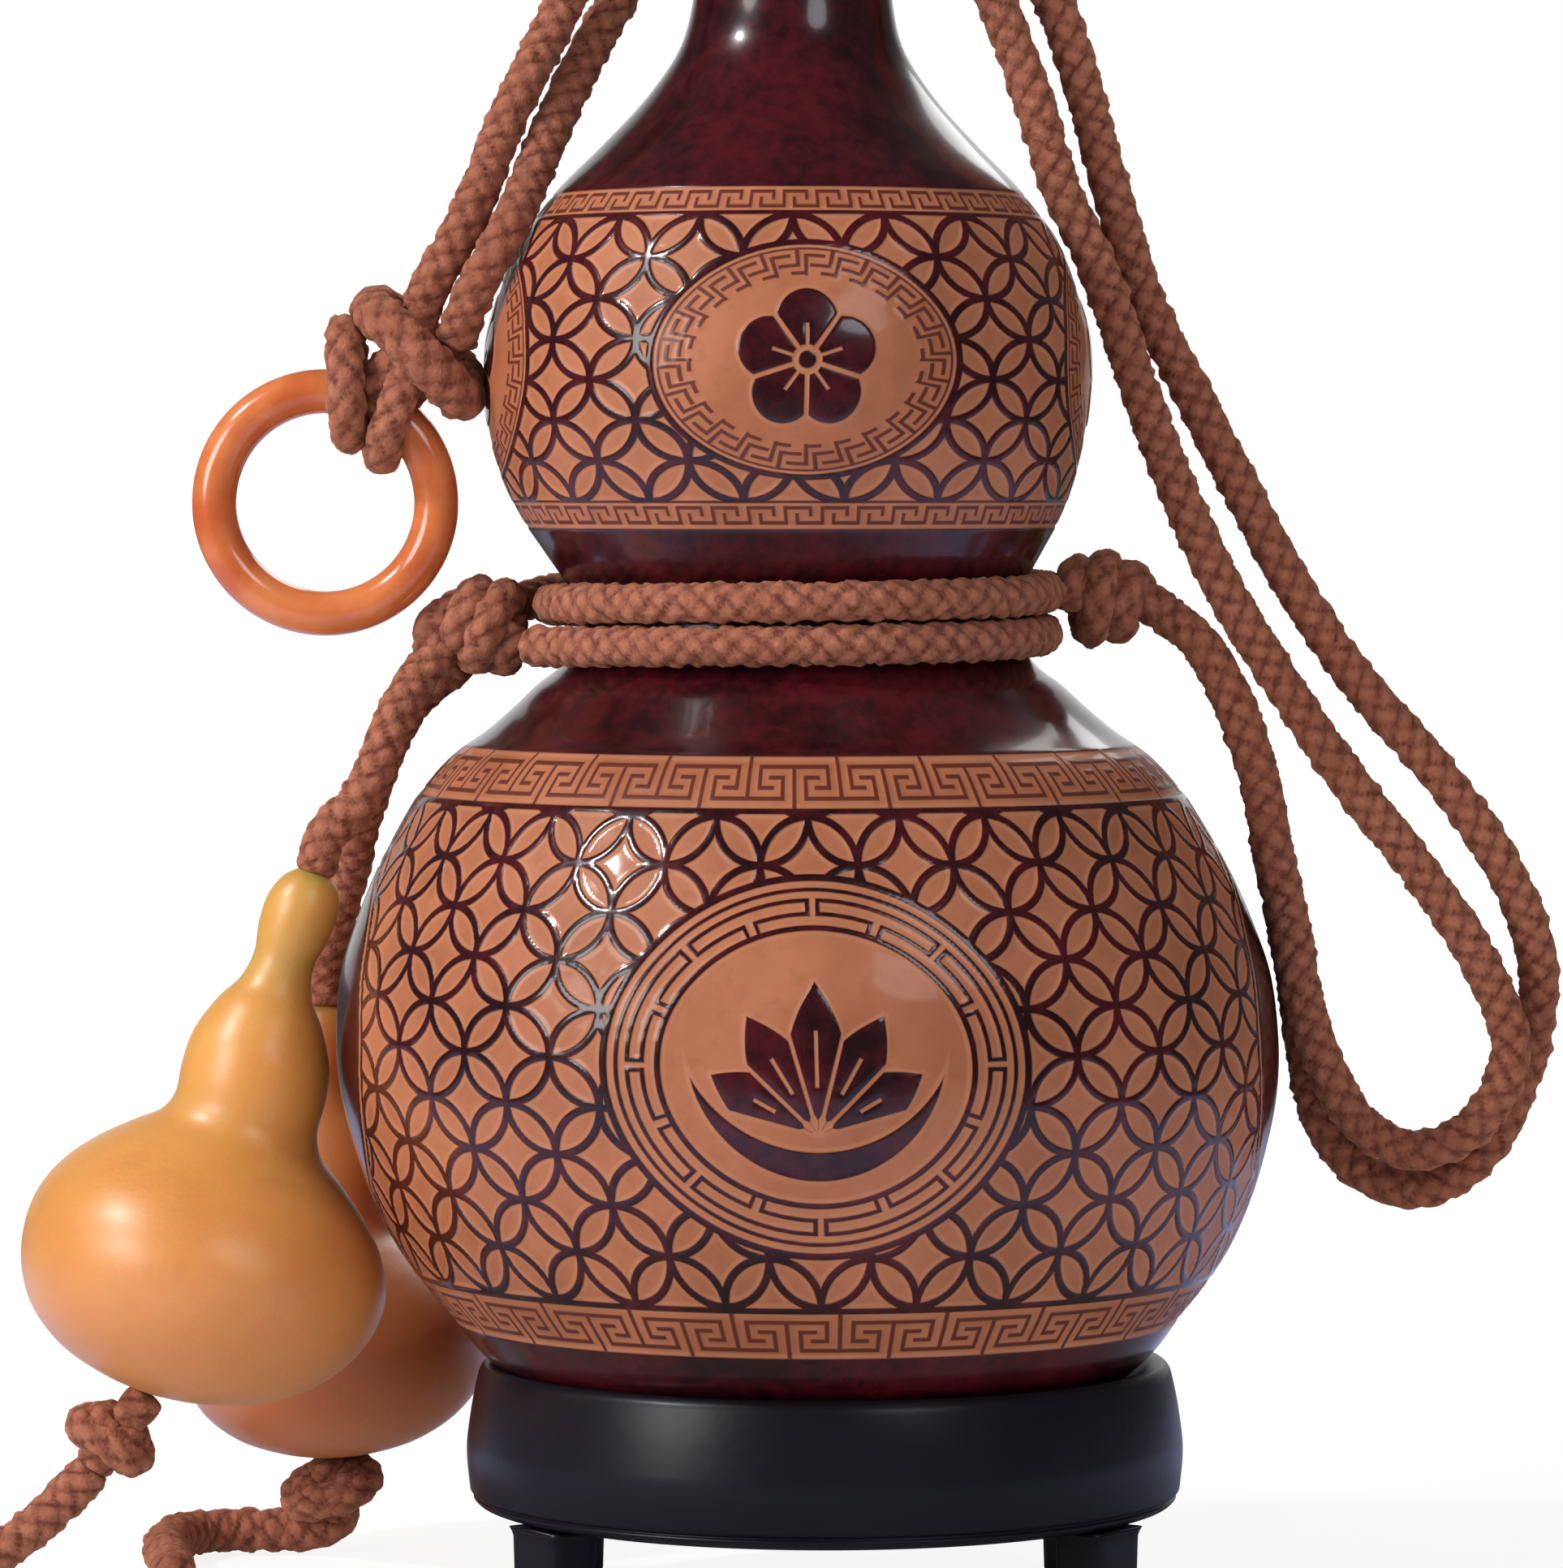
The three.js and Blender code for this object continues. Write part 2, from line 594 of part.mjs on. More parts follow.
function ringKnot() {
  const band = [
    [-56.4, -5.6, 167.2], [-54, -8.8, 166.4], [-50.2, -10.6, 163.2], [-46.4, -9.6, 160.2], [-43.6, -6.6, 158],
    [-44.4, -1.6, 159.4], [-48.2, 1.4, 163], [-52.6, 1, 166.6], [-55.4, -1.8, 168.4],
  ].map(([x, y, z]) => new THREE.Vector3(x, y, z));
  const core = smooth([
    [-50.2, -4.6, 168.4], [-51.2, -4.6, 164.4], [-53.2, -4.6, 160.4], [-54.6, -4.4, 157.6],
  ]);
  const solids = [
    solidOf(loopTube(band, cordDiameter, 20, wrapSides)),
    solidOf(tube(core, cordDiameter * 2, 3, cordSides)),
    ringLoop(78, 0.25),
    ringLoop(51, 0.35),
  ];
  const knot = solids.reduce((whole, solid) => whole.add(solid));
  const clearRing = solidOf(ringSolid(fitGap * 1.2));
  const first = clearTube(new Stretch(frontCurve, frontStrand.length, 0, 3), cordDiameter, 6);
  const second = clearTube(new Stretch(backCurve, backStrand.length, 0, 3), cordDiameter, 6);
  return geometryOf(knot.subtract(clearRing).subtract(first).subtract(second).subtract(bottleClear));
}

// A small gourd's outline, as shares of its length and of its lower bulb's radius.
const gourdOutline = [
  [0, 0.09], [0.02, 0.152], [0.06, 0.197], [0.115, 0.194], [0.17, 0.168], [0.22, 0.2], [0.27, 0.295],
  [0.34, 0.385], [0.4, 0.405], [0.46, 0.403], [0.495, 0.45], [0.53, 0.58], [0.582, 0.76], [0.64, 0.905],
  [0.7, 0.985], [0.76, 0.998], [0.83, 0.945], [0.9, 0.81], [0.955, 0.59], [0.985, 0.34], [1, 0.1],
];
const gourdBend = smoothValue([[0, 0], [0.17, -0.006], [0.35, 0.006], [0.5, 0.016], [0.73, 0.025], [1, 0]]);

// A small gourd hangs on its axis, which runs from its stem down to the middle of its base.
function smallGourd(top, bottom, radius) {
  const length = top.distanceTo(bottom);
  const profile = gourdOutline.map(([along, share]) => [share * radius, -along * length]);
  const closed = [[gourdBoreRadius, 0], ...profile, [gourdBoreRadius, -length], [gourdBoreRadius, 0]];
  const geometry = turned(closed.reverse(), smallGourdSegments);
  const place = geometry.attributes.position;
  for (let i = 0; i < place.count; i += 1) {
    const fromAxis = Math.hypot(place.getX(i), place.getY(i));
    if (fromAxis > gourdBoreRadius + 0.2) {
      place.setX(i, place.getX(i) + gourdBend(-place.getZ(i) / length) * length);
    }
  }
  const up = top.clone().sub(bottom).normalize();
  const turn = new THREE.Quaternion().setFromUnitVectors(new THREE.Vector3(0, 0, 1), up);
  return geometry.applyQuaternion(turn).translate(top.x, top.y, top.z);
}

// The cord's core runs through the gourd's bore.
function gourdCore(top, bottom) {
  const up = top.clone().sub(bottom).normalize();
  const high = top.clone().addScaledVector(up, -0.2);
  const low = bottom.clone().addScaledVector(up, 0.2);
  return tube(new THREE.LineCurve3(low, high), coreDiameter, 2, cordSides);
}

// The knot that stops the cord below a gourd. Its neighbours' clearances are cut from it.
function stopKnot(from, centre, end, width, drop, neighbours) {
  const axis = end.clone().sub(centre).normalize();
  const side = new THREE.Vector3(0, 1, 0).cross(axis).normalize();
  const deep = axis.clone().cross(side);
  const loops = [-1, 1].map((hand) => {
    const points = [];
    for (let j = 0; j < 12; j += 1) {
      const angle = (j / 12) * 2 * Math.PI;
      points.push(centre.clone()
        .addScaledVector(side, width * Math.cos(angle) + hand * 0.9)
        .addScaledVector(deep, width * Math.sin(angle))
        .addScaledVector(axis, hand * drop * Math.cos(angle + hand * 0.8)));
    }
    return solidOf(loopTube(points, cordDiameter - 0.9, 14, wrapSides));
  });
  const core = tube(new THREE.LineCurve3(
    centre.clone().addScaledVector(axis, -width * 0.6),
    centre.clone().addScaledVector(axis, width * 0.6),
  ), width * 1.6, 1, cordSides);
  const cord = tube(new THREE.CatmullRomCurve3([from, centre, end]), cordDiameter, 4);
  const knot = solidOf(core).add(solidOf(cord)).add(loops[0]).add(loops[1]);
  return geometryOf(neighbours.reduce((left, cut) => left.subtract(cut), knot));
}

// The assembly.
const stand = new THREE.Group();
group.add(stand);
addPart('stand_ring', standRing(), blackWood, stand);
// The rear pair stands behind the front pair, where the photograph's view doesn't reach.
const legSpread = 34;
const legAngles = {
  stand_leg_left: legSpread - 180,
  stand_leg_right: -legSpread,
  stand_leg_back: 180 - legSpread,
  stand_leg_back_right: legSpread,
};
for (const [name, degrees] of Object.entries(legAngles)) {
  const angle = THREE.MathUtils.degToRad(degrees);
  const leg = addPart(name, standLeg(), blackWood, stand);
  leg.position.set(standCentre + legRingRadius * Math.cos(angle), legRingRadius * Math.sin(angle), 0);
  leg.rotation.z = angle + Math.PI / 2;
}

addPart('gourd_shell', gourdShell(), carvedSkin);
const collar = addPart('mouth_collar', mouthCollar(), darkWood);
collar.position.x = mouthX;

const stopper = new THREE.Group();
stopper.position.x = mouthX;
group.add(stopper);
addPart('stopper_cap', stopperCap(), darkWood, stopper);
addPart('stopper_plug', stopperPlug(), cork, stopper);

addPart('waist_turns', tube(waistCurve, waistCordDiameter, 66), cordFibre);
const strapNames = [
  ['strap_left_front', 'neck_pass_front', 'strap_right_front'],
  ['strap_left_back', 'neck_pass_back', 'strap_right_back'],
];
for (let i = 0; i < 3; i += 1) {
  addPart(strapNames[0][i], strapPiece(frontCurve, frontStrand, frontSplits, i), cordFibre);
  addPart(strapNames[1][i], strapPiece(backCurve, backStrand, backSplits, i), cordFibre);
}

const endCuts = rightStrandEnds.map(([curve, points, last]) => (
  clearTube(new Stretch(curve, points.length, last - 4, last), cordDiameter, 8)
));
const frontDropCut = clearTube(frontDropCurve, cordDiameter, 12);
const backDropCut = clearTube(backDropCurve, cordDiameter, 12);
addPart('waist_knot_right', waistKnot(rightKnotFrom, rightKnotTo, endCuts), cordFibre);
addPart('waist_knot_left', waistKnot(leftKnotFrom, leftKnotTo, [frontDropCut, backDropCut]), cordFibre);
addPart('drop_cord_front', tube(frontDropCurve, cordDiameter, 10), cordFibre);
addPart('drop_cord_back', tube(backDropCurve, cordDiameter, 12), cordFibre);

addPart('ring_knot', ringKnot(), cordFibre);
addPart('amber_ring', ringSolid(0), amber);

const frontGourd = smallGourd(frontAxisTop, frontAxisBottom, frontGourdRadius);
const backGourd = smallGourd(backAxisTop, backAxisBottom, backGourdRadius);
addPart('small_gourd_front', frontGourd, gourdSkin);
addPart('small_gourd_back', backGourd, gourdSkin);
addPart('gourd_core_front', gourdCore(frontAxisTop, frontAxisBottom), cordFibre);
addPart('gourd_core_back', gourdCore(backAxisTop, backAxisBottom), cordFibre);

// A solid's room: itself moved along an axis by the gap, joined with itself.
function gapBelow(geometry, top, bottom) {
  const down = bottom.clone().sub(top).normalize().multiplyScalar(fitGap);
  const outer = solidOf(geometry);
  return outer.add(outer.translate([down.x, down.y, down.z]));
}

const frontExit = new THREE.Vector3(...pastEnd(frontAxisBottom, frontAxisTop, fitGap));
const backExit = new THREE.Vector3(...pastEnd(backAxisBottom, backAxisTop, fitGap));
const frontNeighbours = [
  gapBelow(frontGourd, frontAxisTop, frontAxisBottom),
  clearTube(frontTailCurve, cordDiameter, 16),
];
const backNeighbours = [
  gapBelow(backGourd, backAxisTop, backAxisBottom),
  clearTube(backTailCurve, cordDiameter, 20),
];
const frontStop = stopKnot(frontExit, frontKnotMiddle, frontKnotEnd, 3.3, 1.2, frontNeighbours);
const backStop = stopKnot(backExit, backKnotMiddle, backKnotEnd, 4.2, 0.5, backNeighbours);
addPart('stop_knot_front', frontStop, cordFibre);
addPart('stop_knot_back', backStop, cordFibre);
addPart('tail_front', tube(frontTailCurve, cordDiameter, 16), cordFibre);
addPart('tail_back', tube(backTailCurve, cordDiameter, 20), cordFibre);

export default group;
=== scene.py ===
import math

import bpy
import numpy as np
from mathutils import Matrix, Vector


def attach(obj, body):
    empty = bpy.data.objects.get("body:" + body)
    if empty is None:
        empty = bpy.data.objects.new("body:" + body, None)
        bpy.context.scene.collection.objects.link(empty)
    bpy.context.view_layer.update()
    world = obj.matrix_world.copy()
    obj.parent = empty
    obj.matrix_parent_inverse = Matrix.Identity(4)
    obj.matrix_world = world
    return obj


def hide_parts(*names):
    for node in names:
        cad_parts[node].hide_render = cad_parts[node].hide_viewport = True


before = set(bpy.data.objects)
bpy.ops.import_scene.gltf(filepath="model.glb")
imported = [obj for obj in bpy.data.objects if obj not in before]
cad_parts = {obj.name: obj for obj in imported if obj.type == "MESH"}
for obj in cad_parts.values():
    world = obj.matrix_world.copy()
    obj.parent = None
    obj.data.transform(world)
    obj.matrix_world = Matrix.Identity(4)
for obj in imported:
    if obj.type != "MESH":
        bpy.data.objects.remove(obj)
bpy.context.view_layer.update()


# Studio: a pale floor with a white surround, a small bright lamp high on the left, soft lamps at the
# left, the front right and the back, and a long lens a little above the bottle's waist.
class Value:
    """A number that varies over a surface. Arithmetic on it adds Math nodes."""

    def __init__(self, finish, socket):
        self.finish = finish
        self.socket = socket

    def output(self, name):
        return Value(self.finish, self.socket.node.outputs[name])

    def __add__(self, other):
        return self.finish.math("ADD", self, other)

    def __sub__(self, other):
        return self.finish.math("SUBTRACT", self, other)

    def __rsub__(self, other):
        return self.finish.math("SUBTRACT", other, self)

    def __mul__(self, other):
        return self.finish.math("MULTIPLY", self, other)

    def __truediv__(self, other):
        return self.finish.math("DIVIDE", self, other)

    __radd__ = __add__
    __rmul__ = __mul__

    def ramp(self, low, high, **settings):
        """0 at low, 1 at high."""
        return self.finish.node("MapRange", settings, {"Value": self, "From Min": low, "From Max": high})

    def mix(self, first, second):
        """The first colour at 0, the second at 1."""
        return self.finish.node("Mix", {"data_type": "RGBA"}, {0: self, 6: first, 7: second}, 2)

    def bump(self, depth, strength=1.0):
        return self.finish.node("Bump", {}, {"Strength": strength, "Distance": depth, "Height": self})


class Finish:
    """One material, or the world, with the nodes in it."""

    def __init__(self, name, owner=None):
        self.owner = owner or bpy.data.materials.new(name)
        self.owner.use_nodes = True
        self.tree = self.owner.node_tree
        self.tree.nodes.clear()

    def node(self, kind, settings, sockets, out=0):
        made = self.tree.nodes.new("ShaderNode" + kind)
        for name, setting in settings.items():
            setattr(made, name, setting)
        for name, value in sockets.items():
            if isinstance(value, Value):
                self.tree.links.new(value.socket, made.inputs[name])
            else:
                made.inputs[name].default_value = value
        return Value(self, made.outputs[out]) if made.outputs else None

    def math(self, operation, *parts):
        return self.node("Math", {"operation": operation}, dict(enumerate(parts)))

    def place(self):
        return self.node("TexCoord", {}, {}, "Object")

    def noise(self, scale, detail=3.0, rough=0.55, where=None):
        sockets = {"Vector": where or self.place(), "Scale": scale, "Detail": detail, "Roughness": rough}
        return self.node("TexNoise", {}, sockets)

    def surface(self, **sockets):
        named = {name.replace("_", " "): value for name, value in sockets.items()}
        skin = self.node("BsdfPrincipled", {}, named)
        self.node("OutputMaterial", {}, {"Surface": skin})


def colour(red, green, blue):
    """A colour as a screen shows it, 0 to 255, as the linear colour that a shader takes."""
    shares = [part / 255 for part in (red, green, blue)]
    linear = [s / 12.92 if s <= 0.04045 else ((s + 0.055) / 1.055) ** 2.4 for s in shares]
    return (*linear, 1.0)


def seen_directly(finish, in_glossy):
    """1 for rays from the camera or through clear things, in_glossy for reflections, 0 otherwise."""
    path = finish.node("LightPath", {}, {}, "Is Camera Ray")
    direct = path + path.output("Is Transmission Ray") + path.output("Is Glossy Ray") * in_glossy
    return finish.math("MINIMUM", direct, 1.0)


def in_scene(name, data):
    thing = bpy.data.objects.new(name, data)
    bpy.context.scene.collection.objects.link(thing)
    return thing


# Reflections see the white only behind the object. On the camera's side the room is dim.
room = bpy.data.worlds.new("white_room")
bpy.context.scene.world = room
room_air = Finish("white_room", room)
ambient = 0.27
room_direction = room_air.node("TexCoord", {}, {}, "Generated")
room_depth = room_air.node("SeparateXYZ", {}, {"Vector": room_direction}, "Y")
backdrop = room_depth.ramp(0.8, 1.0) * 1.25 - 0.25
room_light = seen_directly(room_air, backdrop) * (1.0 - ambient) + ambient
background = room_air.node("Background", {}, {"Color": (1, 1, 1, 1), "Strength": room_light})
room_air.node("OutputWorld", {}, {"Surface": background})

# In reflections the floor glows with painted light: a dim cool grey, brighter and bluer in a wide ring
# round the stand. The dim grey right under the stand is painted shade.
floor_paper = Finish("floor_paper")
paper_colour = floor_paper.noise(40.0).mix(colour(226, 226, 226), colour(236, 236, 236))
matt_paper = floor_paper.node("BsdfDiffuse", {}, {"Color": paper_colour})
paper_reach = floor_paper.node("VectorMath", {"operation": "LENGTH"}, {0: floor_paper.place()}, "Value")
# Painted shade under the stand, painted cool light in the ring round it.
painted_light_ring = paper_reach.ramp(0.07, 0.16) * paper_reach.ramp(0.6, 0.3)
mirrored = floor_paper.node("LightPath", {}, {}, "Is Glossy Ray")
paper_light = mirrored.mix((1, 1, 1, 1), painted_light_ring.mix(colour(24, 24, 34), colour(176, 184, 240)))
lit_paper = floor_paper.node("Emission", {}, {"Color": paper_light, "Strength": 1.15})
paper_share = seen_directly(floor_paper, 0.8) * (paper_reach.ramp(0.3, 1.2) * 0.25 + 0.6) + 0.15
paper = floor_paper.node("MixShader", {}, {0: paper_share, 1: matt_paper, 2: lit_paper})
floor_paper.node("OutputMaterial", {}, {"Surface": paper})

floor_reach = 6.0
floor_mesh = bpy.data.meshes.new("floor")
floor_corners = [(x * floor_reach, y * floor_reach, 0) for x, y in ((-1, -1), (1, -1), (1, 1), (-1, 1))]
floor_mesh.from_pydata(floor_corners, [], [(0, 1, 2, 3)])
floor_mesh.materials.append(floor_paper.owner)
in_scene("floor", floor_mesh)


lamp_aim = Vector((0, 0, 0.12))


def lamp(name, place, size, power, tint=(1, 1, 1)):
    light = bpy.data.lights.new(name, "AREA")
    light.shape = "DISK"
    light.size = size
    light.energy = power
    light.color = tint
    thing = in_scene(name, light)
    thing.location = place
    thing.rotation_euler = (lamp_aim - Vector(place)).to_track_quat("-Z", "Y").to_euler()


lamp("high_left_lamp", (-0.84, -0.38, 0.94), 0.12, 6.8)
lamp("left_softbox", (-0.95, -0.75, 0.45), 0.55, 6.5)
lamp("front_right_softbox", (0.55, -1.0, 0.75), 0.45, 2.6, (0.88, 0.92, 1.0))
lamp("back_lamp", (0.3, 0.95, 0.8), 0.6, 2.5)

camera = in_scene("camera", bpy.data.cameras.new("camera"))
camera.data.sensor_width = 36
camera.data.lens = 167.7
camera.data.clip_start = 0.01
camera.location = (-0.00336, -0.945, 0.1454)
camera.rotation_euler = (math.radians(90 - 2.33), 0, 0)
bpy.context.scene.camera = camera
bpy.context.scene.view_settings.view_transform = "Standard"

# Stand ring: one disc of hard black wood, turned on a lathe with a fine groove near its foot,
# dished to the gourd's underside, bored through and rubbed with black lacquer.
mm = 0.001


def smoothed(points, closed=False, steps=14):
    """Points of a smooth centripetal curve through the given ones."""
    through = np.asarray(points, dtype=float)
    count = len(through)
    if closed:
        padded = np.concatenate([through[-1:], through, through[:2]])
    else:
        first = 2 * through[0] - through[1]
        last = 2 * through[-1] - through[-2]
        padded = np.concatenate([[first], through, [last]])
    spans = count if closed else count - 1
    share = np.linspace(0, 1, steps, endpoint=False)[:, None]
    made = []
    for i in range(spans):
        a, b, c, d = padded[i:i + 4]
        ab, bc, cd = [max(np.linalg.norm(q - p), 1e-6) ** 0.5 for p, q in ((a, b), (b, c), (c, d))]
        leave = ((b - a) / ab - (c - a) / (ab + bc) + (c - b) / bc) * bc
        arrive = ((c - b) / bc - (d - b) / (bc + cd) + (d - c) / cd) * bc
        made.append(
            b + leave * share
            + (3 * (c - b) - 2 * leave - arrive) * share ** 2
            + (2 * (b - c) + leave + arrive) * share ** 3
        )
    if not closed:
        made.append(through[-1:])
    return np.concatenate(made)


def full_turn(count):
    """Evenly spaced angles once round."""
    return np.arange(count) / count * 2 * np.pi


def unit(direction):
    return direction / np.linalg.norm(direction)


def lengths_along(line):
    steps = np.linalg.norm(np.diff(line, axis=0), axis=1)
    return np.concatenate([[0], np.cumsum(steps)])


def read_off(line, places):
    """Points of a line at the given lengths along it."""
    along = lengths_along(line)
    return np.stack([np.interp(places, along, line[:, axis]) for axis in range(line.shape[1])], -1)


def eased(corners, closed):
    """A turned profile from (radius, height, ease) corners, with each corner rounded by its ease."""
    longest_step = 1.2
    count = len(corners)
    places = [np.array(corner[:2], dtype=float) for corner in corners]
    line = []
    for i, place in enumerate(places):
        ease = corners[i][2]
        if ease == 0 or (not closed and i in (0, count - 1)):
            line.append(place)
            continue
        sides = []
        for neighbour in (places[i - 1], places[(i + 1) % count]):
            away = neighbour - place
            reach = np.linalg.norm(away)
            sides.append(place + away / reach * min(ease, reach * 0.48))
        for share in np.linspace(0, 1, 7):
            bend = place * 2 * share * (1 - share)
            line.append(sides[0] * (1 - share) ** 2 + bend + sides[1] * share ** 2)
    if closed:
        line.append(line[0])
    line = np.array(line)
    filled = [line[0]]
    for a, b in zip(line[:-1], line[1:]):
        parts = max(1, math.ceil(np.linalg.norm(b - a) / longest_step))
        filled.extend(a + (b - a) * k / parts for k in range(1, parts + 1))
    return np.array(filled[:-1] if closed else filled)


def turned(profile, columns, middle=0.0):
    """Rows of points of a piece turned about an upright axis, from its (radius, height) profile."""
    angles = full_turn(columns)
    radius, height = profile[:, :1], profile[:, 1:]
    return np.stack([middle + radius * np.sin(angles), -radius * np.cos(angles), height + 0 * angles], -1)


def quad_places(left, right, under, over):
    """Map places of the corners of a grid's quads, from the edges of its columns and rows."""
    across = np.stack(np.broadcast_arrays(left, right, right, left, under)[:4], -1)
    upward = np.stack(np.broadcast_arrays(under, under, over, over, left)[:4], -1)
    return np.stack([across, upward], -1).reshape(-1, 2)


def lay_map(mesh, name, places, spare):
    """A UV map of quads, with the corners of the end faces all at one spare place."""
    rest = np.full((len(mesh.loops) - len(places), 2), spare)
    places = np.concatenate([places, rest]).astype(np.float32)
    mesh.uv_layers.new(name=name).data.foreach_set("uv", places.ravel())


def skinned(name, grids, finishes, closed=False):
    """One piece from grids of points in millimetres, each with rows that run round it."""
    corners = []
    quads = []
    places = []
    ends = []
    start = 0
    for number, grid in enumerate(grids):
        rows, columns = grid.shape[:2]
        row = np.arange(rows if closed else rows - 1)[:, None]
        column = np.arange(columns)[None, :]
        low = start + row * columns
        high = start + (row + 1) % rows * columns
        after = (column + 1) % columns
        ring = np.stack([low + column, low + after, high + after, high + column], -1)
        quads.append(ring.reshape(-1, 4))
        left, right = column / columns, (column + 1) / columns
        under, over = (number + row / rows) / len(grids), (number + (row + 1) / rows) / len(grids)
        places.append(quad_places(left, right, under, over))
        if not closed:
            ends.append(list(range(start + columns - 1, start - 1, -1)))
            ends.append(list(range(start + (rows - 1) * columns, start + rows * columns)))
        corners.append(grid.reshape(-1, 3))
        start += rows * columns
    quads = np.concatenate(quads)
    mesh = bpy.data.meshes.new(name)
    mesh.from_pydata((np.concatenate(corners) * mm).tolist(), [], quads.tolist() + ends)
    lay_map(mesh, "OFBake", np.concatenate(places), 0.5 / len(quads))
    mesh.shade_smooth()
    for finish in finishes:
        mesh.materials.append(finish.owner)
    return in_scene(name, mesh)


def fitted(thing, body, slot, *nodes):
    """The piece rides on its body and stands for its CAD nodes. Its slot is not used."""
    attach(thing, body)
    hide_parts(*nodes)


stand_x = 2.26
stand_profile = eased([
    (20.0, 13.3, 0.8), (42.0, 13.3, 0.6), (44.9, 13.9, 1.0), (45.7, 14.75, 0.25),
    (45.25, 15.2, 0.3), (46.05, 15.65, 0.25), (46.6, 20.7, 3.0), (46.2, 24.2, 3.0), (45.6, 28.0, 2.5),
    (44.8, 31.4, 0.9), (43.9, 32.2, 0.5), (42.3, 32.1, 0.8), (37.0, 26.2, 2.0), (31.3, 22.6, 2.0),
    (25.0, 20.4, 1.5), (20.0, 19.6, 0.8),
], closed=True)
black_lacquer = Finish("black_lacquered_wood")
stand_grain = black_lacquer.noise(60.0, 4.0)
stand_scuff = black_lacquer.noise(700.0, 2.0)
black_lacquer.surface(
    Base_Color=stand_grain.mix(colour(13, 12, 18), colour(24, 22, 31)),
    Roughness=0.3 + stand_grain * 0.12, Specular_IOR_Level=0.22, Coat_Weight=0.06, Coat_Roughness=0.22,
    Normal=(stand_scuff * 0.4 + stand_grain).bump(0.00006),
)
stand_rows = turned(stand_profile, 160, stand_x)
stand_ring = skinned("stand_ring_turned", [stand_rows], [black_lacquer], True)
fitted(stand_ring, "stand", "black_wood", "stand_ring")

# Stand legs: four short blocks of the same wood, a little narrower at the foot, with eased edges.
# They are pegged and glued under the ring, two in front and two behind.
leg_ring = 41.5
leg_height = 13.0
leg_foot_half = 4.6
leg_flare = 0.8
leg_half_depth = 3.5
leg_columns = 64
leg_angles = {"left": -146, "right": -34, "back": 146, "back_right": 34}
leg_levels = [0.0, 0.25, 0.7, 1.4, 3.0, 5.0, 7.0, 9.0, 11.0, 12.2, 12.8, 13.35]
leg_shrink = [1.0, 0.5, 0.15, 0.0, 0.0, 0.0, 0.0, 0.0, 0.0, 0.0, -0.15, -0.4]
for leg_name, leg_degrees in leg_angles.items():
    leg_angle = math.radians(leg_degrees)
    outward = np.array([math.cos(leg_angle), math.sin(leg_angle)])
    sideways = np.array([-outward[1], outward[0]])
    leg_middle = outward * leg_ring + (stand_x, 0.0)
    turn = full_turn(leg_columns)
    leg_rows = []
    for level, shrink in zip(leg_levels, leg_shrink):
        half_width = leg_foot_half + leg_flare * level / leg_height - shrink
        half_depth = leg_half_depth - shrink
        across = np.sign(np.cos(turn)) * np.abs(np.cos(turn)) ** 0.3 * half_width
        deep = np.sign(np.sin(turn)) * np.abs(np.sin(turn)) ** 0.3 * half_depth
        flat = leg_middle + across[:, None] * sideways - deep[:, None] * outward
        leg_rows.append(np.column_stack([flat, np.full(leg_columns, level)]))
    leg = skinned("stand_leg_" + leg_name + "_eased", [np.array(leg_rows)], [black_lacquer])
    fitted(leg, "stand", "black_wood", "stand_leg_" + leg_name)

# Gourd: a dried double-bulb gourd, lacquered dark red. Medallions, coin lattice and key-fret bands are
# cut through the lacquer down to the pale skin, and the lines are what is left standing.
mouth_level = 246.0
neck_radius = 12.2
gourd_wall = 4.0

# Stations are (radius, level) at the base, lower bulb, waist, upper bulb and neck. The flanks between
# them are (share of the rise, share of the way across).
stations = [(0.0, 19.5), (61.0, 73.0), (28.5, 128.5), (39.3, 161.5), (neck_radius, 222.0)]
lower_bowl = [
    (0, 0.13), (0.013, 0.262), (0.043, 0.393), (0.084, 0.5), (0.14, 0.587), (0.196, 0.648), (0.27, 0.72),
    (0.351, 0.775), (0.43, 0.832), (0.53, 0.889), (0.65, 0.937), (0.765, 0.969), (0.882, 0.992),
]
lower_shoulder = [
    (0.169, 0.025), (0.283, 0.086), (0.396, 0.165), (0.51, 0.268), (0.6, 0.365), (0.681, 0.49),
    (0.737, 0.628), (0.795, 0.744), (0.845, 0.835), (0.885, 0.925), (0.93, 0.98),
]
upper_bowl = [(0.09, 0.03), (0.18, 0.19), (0.27, 0.36), (0.418, 0.63), (0.61, 0.852), (0.8, 0.972)]
upper_shoulder = [
    (0.064, 0.015), (0.169, 0.085), (0.255, 0.165), (0.359, 0.336), (0.463, 0.565), (0.567, 0.775),
    (0.671, 0.923), (0.775, 0.978), (0.884, 0.996),
]
gourd_outline = []
flanks = (lower_bowl, lower_shoulder, upper_bowl, upper_shoulder)
for low, high, shares in zip(stations, stations[1:], flanks):
    across, rise = high[0] - low[0], high[1] - low[1]
    gourd_outline.append(low)
    gourd_outline.extend((low[0] + across * along, low[1] + rise * up) for up, along in shares)
gourd_outline.extend([stations[-1], (neck_radius, mouth_level)])
middle_line = smoothed([
    (19.5, 1.7), (73.0, 0.0), (100.0, -0.65), (128.5, -1.35), (150.0, -2.6), (161.5, -2.5),
    (185.0, -2.4), (222.0, -1.6), (246.0, -1.2),
])


def middle_x(height):
    """The bottle's middle line wanders a little, because the gourd grew that way."""
    return np.interp(height, middle_line[:, 0], middle_line[:, 1])


def for_both(operation, plain):
    """A sum that works on arrays, for the relief, and on shader values, for the colour."""
    def made(*parts):
        for part in parts:
            if isinstance(part, Value):
                return part.finish.math(operation, *parts)
        return plain(*parts)
    return made


